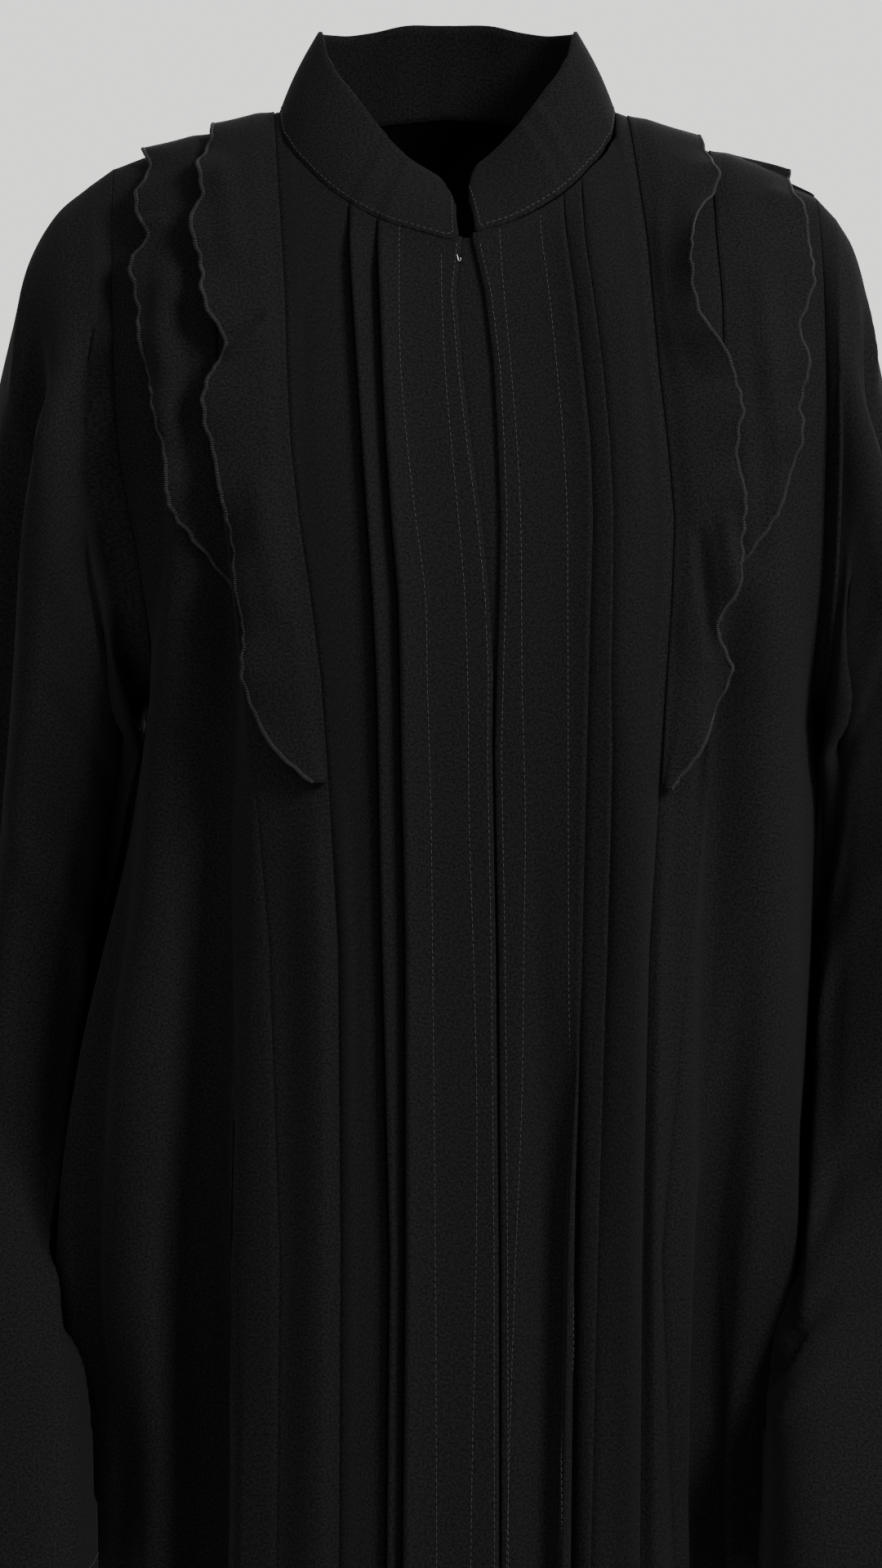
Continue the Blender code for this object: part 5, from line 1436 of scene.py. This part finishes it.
def hook_piece():
    x = float(straight(LINES, "edge_right", HOOK_LEVEL)) - HOOK_INSET
    turn = turn_at(x, HOOK_LEVEL)
    base, facing = body_point(turn, HOOK_LEVEL), body_normal(turn, HOOK_LEVEL)
    bend = [(0.0, 0.0, 0.0022), (0.0002, 0.0007, 0.0013), (0.0004, 0.0010, 0.0), (0.0006, 0.0007, -0.0012),
            (0.0014, 0.0006, -0.0016), (0.0020, 0.0007, -0.0009), (0.0019, 0.0007, 0.0)]
    path = [base + np.array([side, 0, up]) + (FINE_CLOTH / 2 + out) * facing for side, out, up in bend]
    hook = thread_shape("hook_at_the_collar", path, HOOK_RADIUS, sides=8)
    hook.data.materials.append(HOOK_WIRE)
    return hook


hook = hook_piece()

# %% [markdown]
# The free edges of the ruffles are overlocked: thread is looped round the raw edge, loop by loop, so
# it can't fray. Each loop is a small thread bent round the edge, and the tree repeats it.

# %% Overlocked edges
OVERLOCK_WIDTH = 0.0016
OVERLOCK_PITCH = 0.0010
wrap = FINE_RUFFLE / 2 + 0.00015
OVERLOCK_LOOP = thread_shape(
    "one overlock loop",
    [(-0.0003, -OVERLOCK_WIDTH, wrap), (0.0, -0.0002, wrap), (0.0001, 0.0004, 0.0),
     (0.0002, -0.0002, -wrap), (0.0004, -OVERLOCK_WIDTH, -wrap)],
    THREAD_RADIUS,
)
free_edges = []
for _, edge, facing, out in ruffle_parts.values():
    along = unit(np.gradient(edge, axis=0))
    turned = unit(np.cross(along, facing))
    flipped = np.sign((turned * out).sum(axis=-1).mean())
    free_edges.append((edge, facing) if flipped < 0 else (edge[::-1], facing[::-1]))
overlock = sew("overlocked_edges", free_edges, OVERLOCK_PITCH, OVERLOCK_LOOP)
for shape in (STITCH, OVERLOCK_LOOP):
    bpy.data.objects.remove(shape)

# %% [markdown]
# Each piece now takes the place of its solid and rides on the part's one body. The table also holds the size
# that each cloth piece was cut to before it was sewn.

# %% Pieces and what they stand for
CUTS = {
    "front_right": (right_front, (0.105, 1.36), None),
    "front_left": (left_front, (0.100, 1.36), None),
    "front_right_middle": (right_middle, (0.047, 1.37), None),
    "front_left_middle": (left_middle, (0.037, 1.37), None),
    "front_right_side": (right_side, (0.30, 1.36), 0.270),
    "front_left_side": (left_side, (0.24, 1.36), 0.215),
    "underlap_strip": (underlap, (0.026, 1.29), None),
    "back": (back, (0.88, 1.38), 0.860),
    "collar_stand": (collar, (0.49, 0.047), None),
    "sleeve_right": (sleeve_right, (0.42, 0.72), 0.285),
    "sleeve_left": (sleeve_left, (0.40, 0.70), 0.260),
}
for name, (piece, flat, area) in CUTS.items():
    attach(piece, "root")
    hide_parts(name)
for name, (piece, *_) in ruffle_parts.items():
    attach(piece, "root")
    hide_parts(name)
for piece in (topstitching, edge_stitching, overlock):
    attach(piece, "root")
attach(hook, "root")
print("pieces on the cloak:", len(CUTS) + len(ruffle_parts) + 4)

# %% [markdown]
# The cloak hangs clear of a plain pale floor. Black cloth shows its shape only by the soft sheen on
# its folds, so the main light comes from the upper right of the picture, a weak one fills from the
# left, and a third from behind draws the outline.

# %% Floor, light and camera
FLOOR_LEVEL = HEM_LEVEL - 0.05
FAR = 30.0
floor_mesh = bpy.data.meshes.new("floor")
corners = [(x * FAR, y * FAR, FLOOR_LEVEL) for x, y in ((-1, -1), (1, -1), (1, 1), (-1, 1))]
floor_mesh.from_pydata(corners, [], [(0, 1, 2, 3)])
floor_mesh.materials.append(plain("pale floor", (0.84, 0.83, 0.81, 1.0), 0.9))
floor = in_scene("floor", floor_mesh)

world = bpy.data.worlds.new("pale room")
world.use_nodes = True
background = world.node_tree.nodes["Background"]
background.inputs["Color"].default_value = (0.90, 0.89, 0.87, 1.0)
background.inputs["Strength"].default_value = 1.7
bpy.context.scene.world = world


def soft_light(name, place, target, size, watts):
    data = bpy.data.lights.new(name, "AREA")
    data.energy = watts
    data.size = size
    lamp = in_scene(name, data)
    lamp.location = place
    lamp.rotation_euler = (Vector(target) - Vector(place)).to_track_quat("-Z", "Y").to_euler()


MIDDLE = (0.0, 0.0, -0.45)
soft_light("window", (1.5, -1.35, 0.95), MIDDLE, 0.7, 215)
soft_light("fill", (-1.0, -1.9, 1.2), MIDDLE, 1.0, 30)
soft_light("outline", (0.6, 2.0, 1.3), MIDDLE, 1.2, 30)

CHEST_AWAY, SEEN_ABOVE = 2.4, 0.4032  # from the camera to the chest, and half the height seen there
camera_data = bpy.data.cameras.new("photo angle")
camera_data.sensor_fit = "VERTICAL"
camera_data.angle = 2 * math.atan(SEEN_ABOVE / CHEST_AWAY)
camera = in_scene("photo angle", camera_data)
camera.location = (-0.0035, -2.53, -0.3564)
camera.rotation_euler = (math.pi / 2, 0.0, 0.0)
bpy.context.scene.camera = camera
